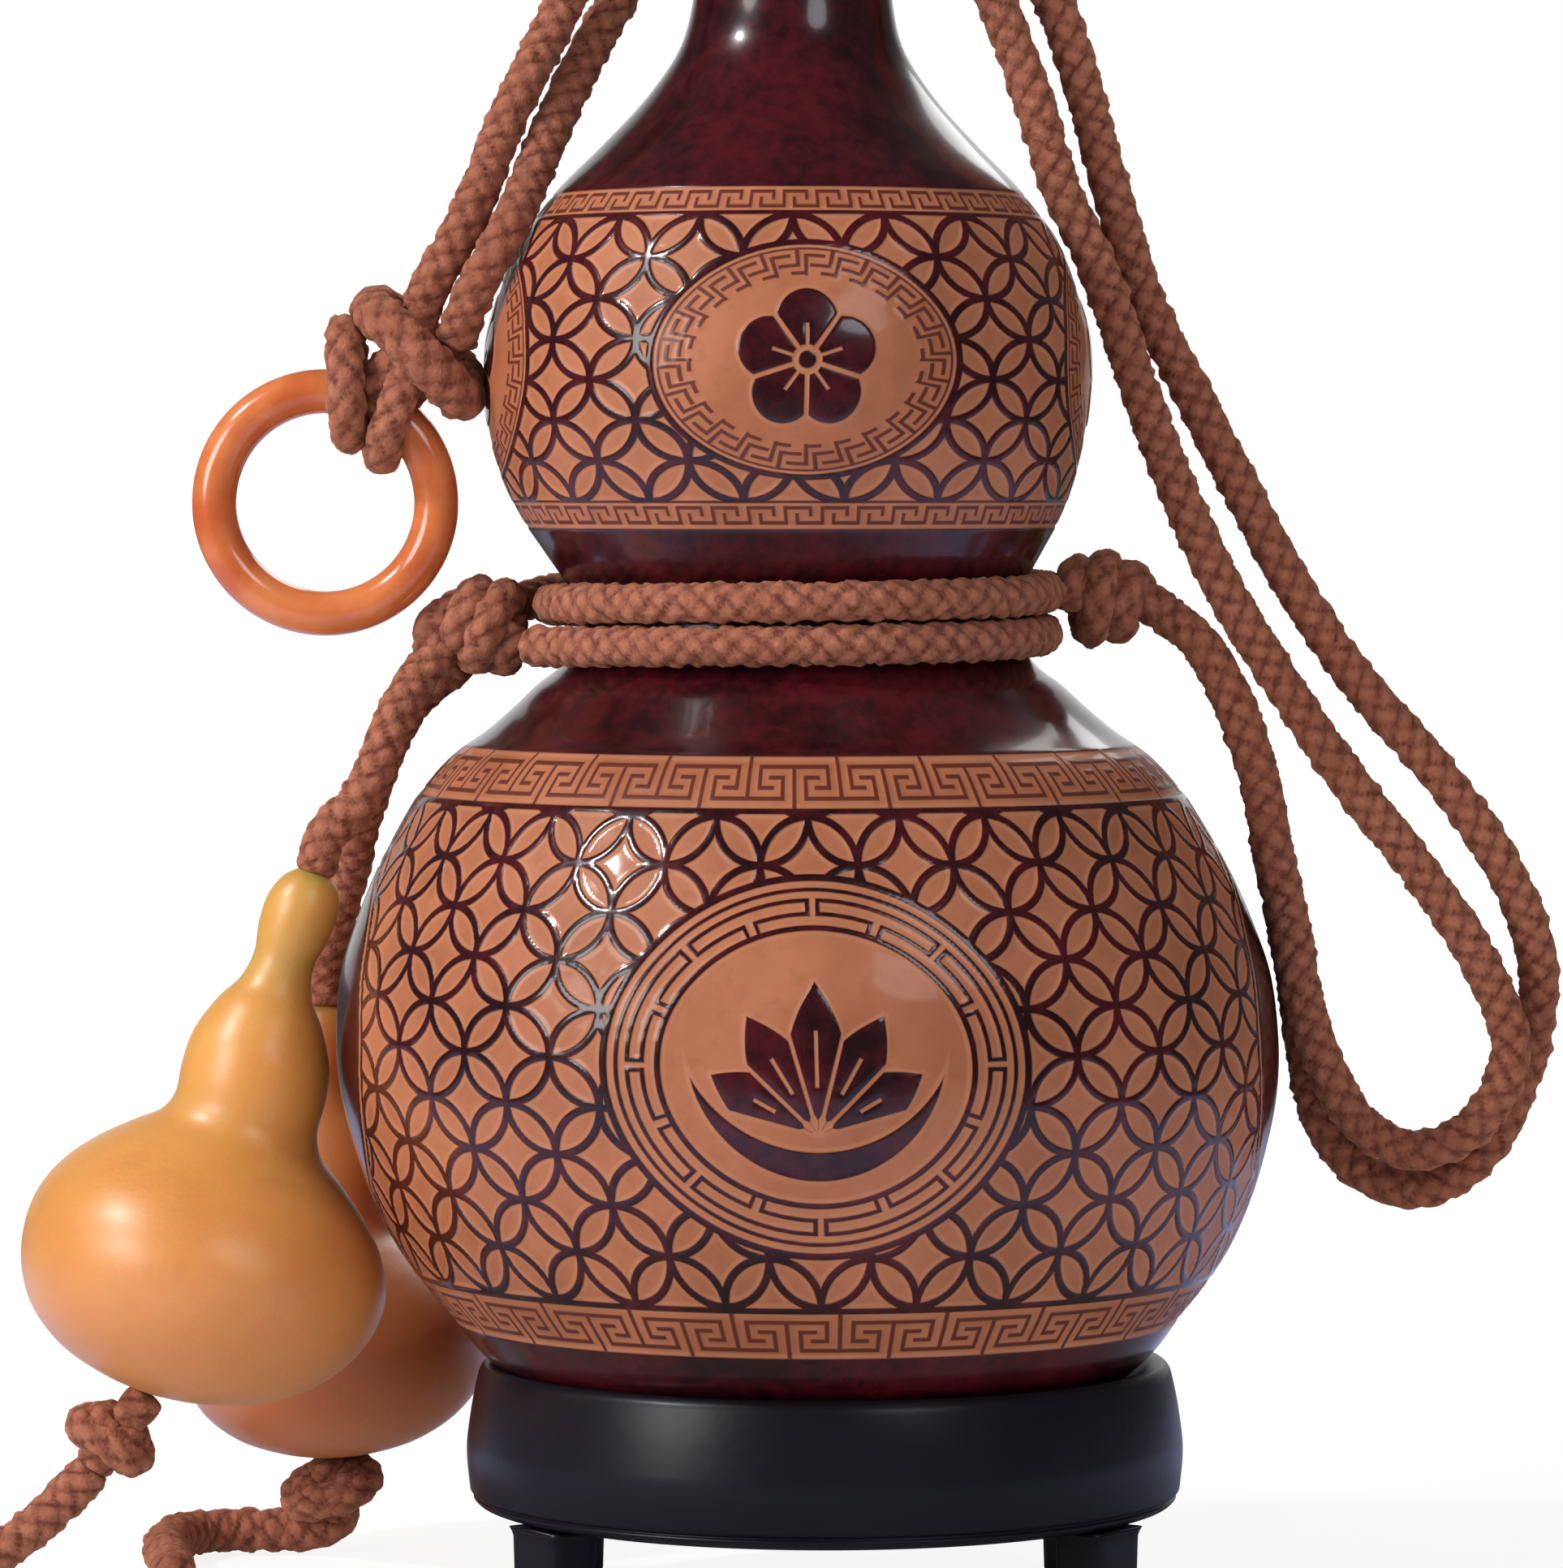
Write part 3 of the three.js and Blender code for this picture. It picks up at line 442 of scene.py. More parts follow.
least = for_both("MINIMUM", np.minimum)
most = for_both("MAXIMUM", np.maximum)
size_of = for_both("ABSOLUTE", np.abs)
fold = for_both("PINGPONG", lambda a, half: np.abs((a + half) % (2 * half) - half))
around = for_both("WRAP", lambda a, high, low: low + (a - low) % (high - low))
root = for_both("SQRT", np.sqrt)
sine = for_both("SINE", np.sin)
cosine = for_both("COSINE", np.cos)
bearing = for_both("ARCTAN2", np.arctan2)
rounded = for_both("ROUND", np.round)
above = for_both("GREATER_THAN", lambda a, b: (a > b) * 1.0)


def reach(x, y):
    return root(x * x + y * y)


def choose(mask, yes, no):
    return mask * (yes - no) + no


def soft_step(a, low, high):
    """0 below low, 1 above high, and smooth between."""
    if isinstance(a, Value):
        return a.ramp(low, high, interpolation_type="SMOOTHSTEP")
    share = np.clip((a - low) / (high - low), 0, 1)
    return share * share * (3 - 2 * share)


def band(level, low, high):
    """Distance inside a level band, in millimetres."""
    return least(level - low, high - level)


def strokes(x, y, wide, high, lines):
    """Distance from the nearest of some straight lines, given in shares of a cell."""
    nearest = None
    for x0, y0, x1, y1 in lines:
        across = size_of(x - (x0 + x1) / 2 * wide)
        if x0 != x1:
            across = across - abs(x1 - x0) / 2 * wide
        along = size_of(y - (y0 + y1) / 2 * high)
        if y0 != y1:
            along = along - abs(y1 - y0) / 2 * high
        distance = most(across, along)
        nearest = distance if nearest is None else least(nearest, distance)
    return nearest


fret_lines = [
    (0, 0, 0, 0.81), (1, 0.19, 1, 1), (0.25, 0.19, 1, 0.19), (0, 0.81, 0.75, 0.81),
    (0.25, 0.19, 0.25, 0.6), (0.75, 0.4, 0.75, 0.81), (0.25, 0.6, 0.52, 0.6), (0.48, 0.4, 0.75, 0.4),
]
key_lines = [
    (0, 0.19, 0, 0.79), (0, 0.19, 0.68, 0.19), (0.68, 0.19, 0.68, 0.46), (0.31, 0.79, 1, 0.79),
    (0.31, 0.48, 0.31, 0.79), (1, 0.19, 1, 0.79),
]
ring_key_lines = [
    (0, 0.25, 0, 1), (0, 0.25, 0.49, 0.25), (0.75, 0, 0.75, 0.65), (0.19, 0.65, 0.75, 0.65),
    (0.55, 0.97, 1, 0.97), (1, 0.25, 1, 1),
]
bar_lines = [
    (0.61, 3.0, 7.85, 3.0), (0.61, 3.0, 0.61, 4.8), (0.61, 4.8, 7.13, 4.8), (7.13, 4.8, 7.13, 6.65),
]

# Bands as (lowest, highest) levels, medallions as (middle degrees, middle level, half width in degrees,
# half height, depth from rim to middle) and lattices as (first degrees, half pitch, top level, row pitch).
top_key_band = (179.9, 182.96)
low_key_band = (140.12, 143.36)
top_fret_band = (105.97, 112.12)
low_fret_band = (37.76, 43.83)
low_medallion = (0.9, 74.25, 25.3, 23.3, 25.0)
side_roundel = (90.0, 74.25, 21.0, 23.0, 22.5)
up_medallion = (3.4, 161.25, 29.6, 14.67, 17.0)
up_lattice = (0.8, 10.0, 179.32, 5.1114)
low_lattice = (0.7, 6.42857, 105.0, 6.031)
bulb_border = 126.0
# Cells of the frets, the keys and the ring of keys as (width, height) in millimetres.
fret_cell, key_cell, ring_key_cell = (5.9, 6.12), (4.4, 3.15), (3.8, 3.5)
ring_key_count = 24
low_frets, top_frets, key_pitch = (11.7, 7.5), (8.1, 6.923), 7.5


def blossom(x, y):
    """Distance inside a five-petal blossom with a dark eye."""
    out = reach(x, y)
    turn = fold(bearing(x, y), math.pi / 5)
    side = out * sine(turn)
    length = out * cosine(turn)
    petal = 3.9 - reach(side, length - 5.0)
    parting = out * sine(math.pi / 5 - turn) - 0.3
    stamen = most(side - 0.22, out - 4.6)
    shape = least(least(petal, parting), stamen)
    return most(least(shape, out - 1.9), 1.1 - out)


def lotus(x, y):
    """Distance inside a lotus of five petals over a curved leaf."""
    side = size_of(x)
    rise = y + 8.5
    out = reach(side, rise)
    turn = bearing(side, rise)
    petal_step = math.radians(30)
    number = least(rounded(turn / petal_step), 2.0)
    off = size_of(turn - number * petal_step) * out
    length = 19.0 - number * 2.0
    swell = sine(least(most((out - 2.0) / (length - 2.0), 0.0), 1.0) * math.pi)
    petal = least(least(swell * 3.5 - off, length - out), out * (petal_step / 2) - off - 0.25)
    vein = most(off - 0.24, most(6.0 - out, out - length + 6.0))
    leaf = least(16.0 - reach(side, y - 2.0), reach(side, y - 7.5) - 18.0)
    return most(least(petal, vein), leaf)


def from_rim(x, y, medallion):
    """Depth inside a medallion's rim, and the bearing round it."""
    half_width, half_height, rim = medallion[2:]
    across, rise = x / half_width, y / half_height
    return rim - reach(across, rise) * rim, bearing(rise, across)


def carving(degrees, level):
    """How far a point lies inside the standing lacquer and inside the brown fret lines, in millimetres."""
    upper = above(level, bulb_border)
    # Coin lattice: circles that overlap by a quarter turn each, 28 round the lower bulb and 18 round
    # the upper one.
    up_first, up_pitch, up_top, up_row = up_lattice
    low_first, low_pitch, low_top, low_row = low_lattice
    column = fold(choose(upper, (degrees - up_first) / up_pitch, (degrees - low_first) / low_pitch), 1.0)
    row = fold(choose(upper, (up_top - level) / up_row, (low_top - level) / low_row), 1.0)
    arc_a = size_of(reach(column, 1.0 - row) - 1.0)
    arc_b = size_of(reach(1.0 - column, row) - 1.0)
    dark = 0.5 - least(arc_a, arc_b) * choose(upper, 5.8, 6.3)
    # Lower medallion: linked bars between two rings, round a lotus. It comes again at the back.
    low_x, low_y = around(degrees - low_medallion[0], 90.0, -90.0), level - low_medallion[1]
    depth, low_turn = from_rim(low_x, low_y, low_medallion)
    bar = fold(low_turn - math.pi / 2, math.pi / 8) * 20.0
    bars = 0.27 - strokes(bar, depth, 1.0, 1.0, bar_lines)
    rings = most(0.36 - size_of(depth - 6.65), 0.25 - size_of(depth - 1.6))
    low_field = lotus(low_x * 1.0647, low_y)
    low_inside = most(most(bars, rings), least(low_field, depth - 7.2))
    dark = choose(above(depth, 0.0), low_inside, dark)
    dark = most(dark, least(0.45 - size_of(depth), bulb_border - level))
    # Side roundels of the lower bulb: plain lacquer in a thin pale rim.
    side_depth = from_rim(side_roundel[0] - size_of(low_x), low_y, side_roundel)[0]
    plain = most(side_depth - 1.1, 0.4 - size_of(side_depth))
    dark = choose(above(side_depth, -0.4), plain, dark)
    # Upper medallion: a ring of keys round a blossom, four times round the bulb.
    up_x, up_y = around(degrees - up_medallion[0], 45.0, -45.0), level - up_medallion[1]
    up_depth, up_turn = from_rim(0.0 - up_x, up_y, up_medallion)
    key_along = around(up_turn * (ring_key_count / math.tau), 1.0, 0.0) * ring_key_cell[0]
    ring_keys = 0.25 - strokes(key_along, up_depth - 1.05, *ring_key_cell, ring_key_lines)
    ring_keys = most(ring_keys, 0.16 - size_of(up_depth - 0.95))
    up_field = least(blossom(up_x * 0.686, up_y), up_depth - 4.95)
    dark = choose(above(up_depth, 0.0), up_field, dark)
    dark = most(dark, 0.42 - size_of(up_depth))
    # Bands: key fret between plain zones of lacquer and dark lines.
    in_keys = most(band(level, *top_key_band), band(level, *low_key_band))
    in_frets = most(band(level, *top_fret_band), band(level, *low_fret_band))
    paler = most(in_keys, in_frets)
    waist_zone = least(143.62 - level, level - 105.29)
    plain_zone = most(most(level - 179.37, waist_zone), 44.6 - level)
    dark = least(most(dark, plain_zone), 0.0 - paler)
    lower_frets = above(72.0, level)
    fret_s, top_s = [fold(degrees + first, half) / half for first, half in (low_frets, top_frets)]
    fret_s = choose(lower_frets, fret_s, top_s)
    fret_t = choose(lower_frets, low_fret_band[1] - level, top_fret_band[1] - level)
    frets = 0.26 - strokes(fret_s * fret_cell[0], fret_t, *fret_cell, fret_lines)
    key_s = around((degrees + 8.6) / key_pitch, 1.0, 0.0)
    key_t = choose(above(level, 160.0), top_key_band[1] - level, low_key_band[1] - level)
    keys = 0.23 - strokes(key_s * key_cell[0], key_t, *key_cell, key_lines)
    brown = choose(above(paler, 0.0), choose(upper, keys, frets), -1.0)
    brown = choose(above(up_depth, 0.0), ring_keys, brown)
    return dark, brown


# The lattice rows stand on the real skin at these heights. The carving is drawn on evenly spaced ones.
lower_rows = [44.69, 51.12, 57.39, 63.55, 69.63, 75.61, 81.56, 87.43, 93.29, 99.14, 105.0]
upper_rows = [143.54, 148.64, 153.72, 158.8, 163.88, 168.98, 174.12, 179.32]
drawn_height = 300.0
even_rows = [np.linspace(rows[0], rows[-1], len(rows)) for rows in (lower_rows, upper_rows)]
real_levels, drawn_levels = [
    [0.0, low_fret_band[1], *low, top_fret_band[0], low_key_band[0], *up, top_key_band[0], drawn_height]
    for low, up in ((lower_rows, upper_rows), even_rows)
]
cut_depth = 0.17
carved_step, plain_step = 0.42, 1.3
outside_line = smoothed(gourd_outline, steps=24)
outside_line[0, 0] = 0.02
level = outside_line[:, 1]
fine = ((level > 37) & (level < 113)) | ((level > 139.5) & (level < 183.5))
steps_along = np.linalg.norm(np.diff(outside_line, axis=0), axis=1)
row_count = np.concatenate([[0], np.cumsum(steps_along / np.where(fine[1:], carved_step, plain_step))])
rows_wanted = np.linspace(0, row_count[-1], int(row_count[-1]) + 1)
outside = np.stack([np.interp(rows_wanted, row_count, outside_line[:, axis]) for axis in (0, 1)], -1)
outside = outside[:-2]
rim_line = np.array([
    (12.2, 244.2), (12.15, 245.2), (11.9, 245.75), (11.4, 246.0), (9.0, 246.0), (8.5, 245.75),
    (8.25, 245.2), (8.2, 244.2),
])
along_outline = np.gradient(outside, axis=0)
along_outline /= np.linalg.norm(along_outline, axis=1)[:, None]
inside = outside + gourd_wall * np.stack([-along_outline[:, 1], along_outline[:, 0]], -1)
inside = inside[(inside[:, 0] > 6.5) & (outside[:, 1] < 240)][::-9]
inside = np.concatenate([[(8.2, 242.5)], inside, [(3.0, inside[-1, 1]), (0.02, inside[-1, 1])]])
gourd_columns = 756
gourd_grid = turned(np.concatenate([outside, rim_line, inside]), gourd_columns)
outside_rows = len(outside)
drawn = np.interp(outside[:, 1], real_levels, drawn_levels)
angles = full_turn(gourd_columns)
wrapped_degrees = (np.arange(gourd_columns) / gourd_columns * 360 + 180) % 360 - 180
drawn_grid, degrees_grid = np.meshgrid(drawn, wrapped_degrees, indexing="ij")
dark_at, brown_at = carving(degrees_grid, drawn_grid)
standing = np.maximum(soft_step(dark_at, -0.22, 0.16), soft_step(brown_at, -0.2, 0.12) * 0.6)
relief = cut_depth * (1 - standing)
inward = np.stack([
    -along_outline[:, 1:] * np.sin(angles), along_outline[:, 1:] * np.cos(angles),
    along_outline[:, :1] + 0 * angles,
], -1)
gourd_grid[:outside_rows] += inward * relief[:, :, None]
gourd_grid[:, :, 0] += middle_x(gourd_grid[:, :, 2])

carved_gourd = Finish("carved_gourd")
wrap = carved_gourd.node("UVMap", {"uv_map": "wrap"}, {})
wrap_split = carved_gourd.node("SeparateXYZ", {}, {"Vector": wrap}, "X")
angle_value = wrap_split * 360.0 - 180.0
level_value = wrap_split.output("Y") * drawn_height
dark_value, brown_value = carving(angle_value, level_value)
cloud = carved_gourd.noise(55.0, 5.0, 0.6)
speck = carved_gourd.noise(420.0, 3.0, 0.65)
grain = carved_gourd.noise(1900.0, 2.0)
lacquer_cloud = soft_step(cloud * 0.6 + speck * 0.4, 0.38, 0.66)
lacquer_colour = lacquer_cloud.mix(colour(34, 7, 13), colour(80, 17, 25))
skin_colour = soft_step(cloud, 0.3, 0.7).mix(colour(165, 97, 64), colour(187, 115, 81))
skin_colour = (soft_step(speck, 0.5, 0.75) * 0.35).mix(skin_colour, colour(150, 88, 52))
# Painted highlight: the skin is paler in a thin band just outside the standing lacquer lines.
painted_edge_highlight = soft_step(dark_value, -0.75, -0.3) * (1.0 - soft_step(dark_value, -0.2, 0.0))
skin_colour = (painted_edge_highlight * 0.15).mix(skin_colour, colour(226, 166, 124))
marked = soft_step(brown_value, -0.09, 0.09).mix(skin_colour, colour(100, 42, 30))
lacquer_share = soft_step(dark_value, -0.09, 0.09)
height_value = soft_step(dark_value, -0.14, 0.14) + soft_step(brown_value, -0.14, 0.14) * 0.5
height_value = height_value + grain * 0.08 + speck * 0.06
carved_gourd.surface(
    Base_Color=lacquer_share.mix(marked, lacquer_colour),
    Roughness=0.46 - lacquer_share * 0.26 + speck * 0.08,
    Specular_IOR_Level=0.28, Coat_Weight=lacquer_share * 0.2 + 0.25, Coat_Roughness=0.09,
    Normal=height_value.bump(0.00006),
)
raw_gourd = Finish("raw_gourd_inside")
raw_fibre = raw_gourd.noise(300.0, 5.0)
raw_gourd.surface(
    Base_Color=raw_fibre.mix(colour(120, 84, 52), colour(176, 136, 92)),
    Roughness=0.9,
    Normal=raw_fibre.bump(0.0004),
)
gourd = skinned("gourd_carved", [gourd_grid], [carved_gourd, raw_gourd])
left_share = (wrapped_degrees + 180) / 360
right_share = left_share + 1 / gourd_columns
drawn_rows = np.concatenate([drawn, np.full(len(gourd_grid) - outside_rows, mouth_level)]) / drawn_height
wrap_places = quad_places(left_share, right_share, drawn_rows[:-1, None], drawn_rows[1:, None])
lay_map(gourd.data, "wrap", wrap_places, 0.0)
inner_faces = np.zeros(len(gourd.data.polygons), dtype=np.int32)
inner_faces[(outside_rows + 4) * gourd_columns:] = 1
gourd.data.polygons.foreach_set("material_index", inner_faces)
fitted(gourd, "bottle", "carved_gourd", "gourd_shell")

# Mouth collar: a ring of polished dark wood, turned with two beads. It is glued over the gourd's cut
# mouth, hides the edge and holds the plug.
mouth_x = float(middle_x(mouth_level))
collar_profile = eased([
    (12.5, 237.0, 0.2), (14.6, 237.0, 0.5), (15.4, 238.0, 0.7), (15.2, 239.4, 0.4), (14.7, 239.9, 0.3),
    (14.7, 240.5, 0.3), (15.1, 241.0, 0.4), (14.9, 243.6, 0.8), (15.45, 245.6, 0.8), (15.4, 247.6, 0.8),
    (14.4, 248.4, 0.5), (8.8, 248.4, 0.4), (8.8, 246.3, 0.1), (12.5, 246.3, 0.1),
], closed=True)
dark_wood = Finish("polished_dark_wood")
wood_rings = dark_wood.node("Mapping", {}, {"Vector": dark_wood.place(), "Scale": (220.0, 220.0, 25.0)})
wood_grain = dark_wood.noise(1.0, 4.0, where=wood_rings)
dark_wood.surface(
    Base_Color=soft_step(wood_grain, 0.35, 0.65).mix(colour(38, 14, 12), colour(82, 34, 24)),
    Roughness=0.24 + wood_grain * 0.12, Coat_Weight=0.4, Coat_Roughness=0.1,
    Normal=wood_grain.bump(0.00008),
)
collar = skinned("mouth_collar_turned", [turned(collar_profile, 120, mouth_x)], [dark_wood], True)
fitted(collar, "bottle", "dark_wood", "mouth_collar")

# Stopper: a turned knob of the same dark wood, pegged into a cork plug. The plug tapers a little and
# closes the mouth by friction.
knob_foot, knob_radius, knob_height = 248.7, 11.5, 18.0
knob_shape = [
    (0.002, 0.0), (0.9, 0.0), (0.97, 0.02), (1.0, 0.07), (0.995, 0.14), (0.93, 0.2), (0.78, 0.28),
    (0.66, 0.35), (0.62, 0.42), (0.64, 0.5), (0.7, 0.6), (0.755, 0.7), (0.75, 0.78), (0.66, 0.87),
    (0.48, 0.94), (0.24, 0.985), (0.002, 1.0),
]
knob_line = np.array(knob_shape[1:]) * (knob_radius, knob_height) + (0, knob_foot)
knob_line = np.concatenate([[[0.02, knob_foot]], smoothed(knob_line, steps=6)])
knob_line[-1, 0] = 0.02
knob = skinned("stopper_knob_turned", [turned(knob_line, 120, mouth_x)], [dark_wood])
fitted(knob, "stopper", "dark_wood", "stopper_cap")

cork = Finish("cork")
cork_cells = cork.node("TexVoronoi", {}, {"Vector": cork.place(), "Scale": 900.0}, "Distance")
cork_pores = cork.noise(350.0)
cork.surface(
    Base_Color=soft_step(cork_pores, 0.4, 0.62).mix(colour(196, 150, 100), colour(138, 92, 54)),
    Roughness=0.88,
    Normal=(cork_cells + cork_pores).bump(0.0003),
)
plug_profile = eased([
    (0.02, 230.0, 0), (6.9, 230.0, 0.5), (7.35, 230.9, 0.5), (7.8, 248.35, 0.2), (0.02, 248.35, 0),
], closed=False)
plug = skinned("stopper_plug_cork", [turned(plug_profile, 96, mouth_x)], [cork])
fitted(plug, "stopper", "cork", "stopper_plug")

# Cord: one soft round braid of eight brown cotton strands, about 5 mm thick. Two strands carry the
# bottle from the ring over the neck to the right knot, and one goes twice round the waist.
cord_width = 5.2
waist_cord_width = 5.0
plait_length = 3.3
cord_luck = np.random.default_rng(11)


def uneven(places, total, spacing, closed):
    """A random swell along a cord, -1 to 1, that meets itself on a closed one."""
    marks = np.linspace(0, total, max(3, round(total / spacing)))
    heights = cord_luck.uniform(-1, 1, len(marks))
    if closed:
        heights[-1] = heights[0]
    return np.interp(places, marks, heights)


def ring_frames(line, closed):
    """Two directions square to a line at each of its points, turning as little as they can."""
    if closed:
        ahead = np.roll(line, -1, axis=0) - np.roll(line, 1, axis=0)
    else:
        ahead = np.gradient(line, axis=0)
    ahead /= np.linalg.norm(ahead, axis=1)[:, None]
    side = np.cross(ahead[0], (0.0, 0.0, 1.0))
    if np.linalg.norm(side) < 0.2:
        side = np.cross(ahead[0], (0.0, 1.0, 0.0))
    sides = []
    for direction in ahead:
        side = unit(side - direction * np.dot(side, direction))
        sides.append(side)
    sides = np.array(sides)
    return sides, np.cross(ahead, sides)


def braided(line, width, closed=False, spacing=0.42, columns=28, plait=plait_length):
    """Rows of points round a cord, with its plaits standing, how high each stands, and its middle."""
    if closed:
        line = np.concatenate([line, line[:1]])
    total = lengths_along(line)[-1]
    count = max(8, round(total / spacing))
    places = np.linspace(0, total, count, endpoint=not closed)
    middle = read_off(line, places)
    sides, ups = ring_frames(middle, closed)
    turn = full_turn(columns)
    if closed:
        plait = total / max(1, round(total / plait))
    travel = places[:, None] / plait + 0.18 * uneven(places, total, 5.0, closed)[:, None]
    lay_one = travel + 4 * turn / (2 * np.pi)
    lay_two = travel - 4 * turn / (2 * np.pi)
    over = (np.floor(lay_one) + np.floor(lay_two)) % 2 == 0
    one = np.sin(np.pi * (lay_one % 1))
    two = np.sin(np.pi * (lay_two % 1))
    stand = np.where(over, two ** 0.8 * (0.55 + 0.45 * one), one ** 0.8 * (0.55 + 0.45 * two))
    swell = uneven(places, total, 2.4, closed)[:, None]
    lumps = cord_luck.normal(0, 0.02, stand.shape)
    lumps = lumps + np.roll(lumps, 1, 0) + np.roll(lumps, 1, 1) + np.roll(lumps, (1, 1), (0, 1))
    radius = width / 2 * (0.91 + 0.14 * stand + 0.035 * swell + lumps)
    if not closed:
        ease = np.minimum(places, total - places)[:, None]
        radius = radius * np.where(ease < 0.8, 0.88 + 0.12 * np.sqrt(np.clip(ease / 0.8, 0, 1)), 1.0)
    grid = middle[:, None] + radius[:, :, None] * (
        np.cos(turn)[None, :, None] * sides[:, None] + np.sin(turn)[None, :, None] * ups[:, None])
    return grid, stand, middle


def cord_piece(name, runs, nodes):
    """One piece of cord from runs that braided() has made."""
    thing = skinned(name, [run[0] for run in runs], [cotton])
    crest = thing.data.attributes.new("crest", "FLOAT", "POINT")
    crest.data.foreach_set("value", np.concatenate([run[1].ravel() for run in runs]).astype(np.float32))
    fitted(thing, "bottle", "cord", *nodes)
    return thing


cotton = Finish("brown_cotton_braid")
cotton_crest = cotton.node("Attribute", {"attribute_name": "crest"}, {}, "Fac")
cotton_tuft = cotton.noise(620.0, 3.0, 0.6)
cotton_fibre = cotton.noise(1500.0, 3.0, 0.7)
cotton_fade = cotton.noise(28.0, 2.0)
# Painted light: the plaits' crests take a lit colour, with random darker tufts.
cotton_painted_lit = soft_step(cotton_fade, 0.35, 0.65).mix(colour(178, 110, 84), colour(194, 125, 98))
cotton_painted_lit = (soft_step(cotton_tuft, 0.35, 0.7) * 0.6).mix(cotton_painted_lit, colour(132, 76, 58))
# Painted shade: the grooves between the plaits are darker, mixed with random darker tufts and fibres.
crest_shade_and_fuzz = cotton_crest * 0.7 + (cotton_tuft - 0.5) * 1.2 + (cotton_fibre - 0.5) * 0.8
shade_and_fuzz_mix = soft_step(crest_shade_and_fuzz, -0.1, 0.75)
cotton_height = cotton_fibre * 0.6 + cotton_tuft * 0.5 + cotton_crest * 0.3
cotton.surface(
    Base_Color=shade_and_fuzz_mix.mix(colour(108, 56, 44), cotton_painted_lit),
    Roughness=0.95, Specular_IOR_Level=0.15,
    Sheen_Weight=0.35, Sheen_Roughness=0.5, Sheen_Tint=colour(220, 170, 140),
    Normal=cotton_height.bump(0.0006, 0.8),
)

front_strand = [
    (-49.6, -5.6, 168.6), (-47.5, -7, 172.9), (-45.2, -7, 176.6), (-42.3, -6, 182.8), (-40, -5, 189.1),
    (-37.3, -4, 195.4), (-34.2, -3, 201.7), (-31.1, -2, 208), (-26, -3.6, 217), (-18.6, -8, 225),
    (-10, -13.3, 230.4), (-1.6, -15.5, 232), (6.6, -13.2, 231), (13.4, -8.8, 226.5), (19.2, -5, 218),
    (24.2, -2.8, 207.9), (28.9, -2.8, 195.4), (32.9, -2.8, 182.9), (36, -2.8, 176.7), (38.6, -2.8, 170.4),
    (42.8, -2.8, 157.9), (47.6, -2.8, 145.4), (53.4, -2.8, 132.8), (61.1, -2.8, 120.3), (69.7, -2.8, 107.7),
    (79.6, -2.8, 95.1), (87.7, -2.8, 82.5), (90.9, -2.8, 72.5), (86.5, -2.8, 63), (78.7, -2.8, 59.6),
    (71.5, -2.8, 63.2), (66.6, -2.8, 71.5), (64, -2.8, 79.8), (62.4, -2.8, 89), (60.2, -2.8, 98.3),
    (57.8, -2.8, 110), (54.2, -2.8, 119.6), (50, -1.2, 126), (46.2, 1.4, 129),
]
back_strand = [
    (-45.2, -7.2, 163.8), (-43.4, -9, 168.6), (-41.2, -10.4, 173.1), (-39.2, -11, 176.4),
    (-36.3, -7.4, 182.8), (-33.9, -3.4, 189.2), (-31.2, 0, 195.6), (-28.1, 2.5, 202), (-24.6, 4.5, 208.4),
    (-18.6, 8, 218.5), (-10, 13.3, 229.4), (-1.6, 15.5, 232), (6.6, 13.2, 231), (14.6, 9.6, 226),
    (23.4, 5.8, 220), (31.7, 3, 208.3), (36, 2.8, 195.7), (39.5, 2.8, 183.2), (43.4, 2.8, 170.6),
    (49.6, 2.8, 158), (56.1, 2.8, 145.4), (62.9, 2.8, 132.8), (71.6, 2.8, 120.1), (82.5, 2.8, 107.5),
    (91.1, 2.8, 94.8), (95.1, 2.8, 82.1), (93.1, 2.8, 69.4), (87.6, 2.8, 58.6), (80, 2.8, 54.2),
    (72.4, 2.8, 56.2), (66.8, 2.8, 63.4), (64.7, 2.8, 73), (63.4, 2.8, 82), (61, 3, 94.8),
    (58.8, 3.2, 107), (55.2, 3.8, 117.6), (52.2, 6.4, 123.8),
]


def free_cord(name, points, width, nodes):
    """A run of the braid, which stands for its CAD solids."""
    run = braided(smoothed(points), width)
    thing = cord_piece(name, [run], nodes)
    run[2][0] * mm
    run[2] * mm


free_cord(
    "strap_strand_front", front_strand, cord_width,
    ["strap_left_front", "neck_pass_front", "strap_right_front"],
)
free_cord(
    "strap_strand_back", back_strand, cord_width,
    ["strap_left_back", "neck_pass_back", "strap_right_back"],
)

waist_turn_pitch = 5.45
waist_turn_low = 124.7
waist_upper_end = [
    (-20.8, 29.2, 133.6), (-29, 24.2, 132.4), (-34.2, 17.4, 131.2), (-38.1, 10.2, 130.1), (-40.5, 3.5, 129),
]


def rest_radius(height):
    """Radius at which the waist cord just rests on the gourd."""
    clear = waist_cord_width / 2 + 0.3
    skin = np.array(gourd_outline)
    share = np.linspace(0, 1, 10, endpoint=False)[:, None, None]
    places = (skin[:-1] * (1 - share) + skin[1:] * share).reshape(-1, 2)
    rise = places[:, 1] - height
    near = np.abs(rise) < clear
    return float(np.max(places[near, 0] + np.sqrt(clear ** 2 - rise[near] ** 2)))


waist_points = []
for degrees in range(-150, 466, 15):
    angle = math.radians(degrees)
    height = waist_turn_low + waist_turn_pitch * (degrees + 180) / 360 - (1 + math.cos(angle)) / 2
    radius = rest_radius(height) + 0.05
    across = float(middle_x(height)) + radius * math.cos(angle)
    waist_points.append((across, radius * math.sin(angle), height))
first_turn = np.array(waist_points[0])
lower_end = first_turn + unit(first_turn - np.array(waist_points[1])) * waist_cord_width * 2
waist_line = [tuple(lower_end), *waist_points, *waist_upper_end]
free_cord("waist_cord", waist_line, waist_cord_width, ["waist_turns"])


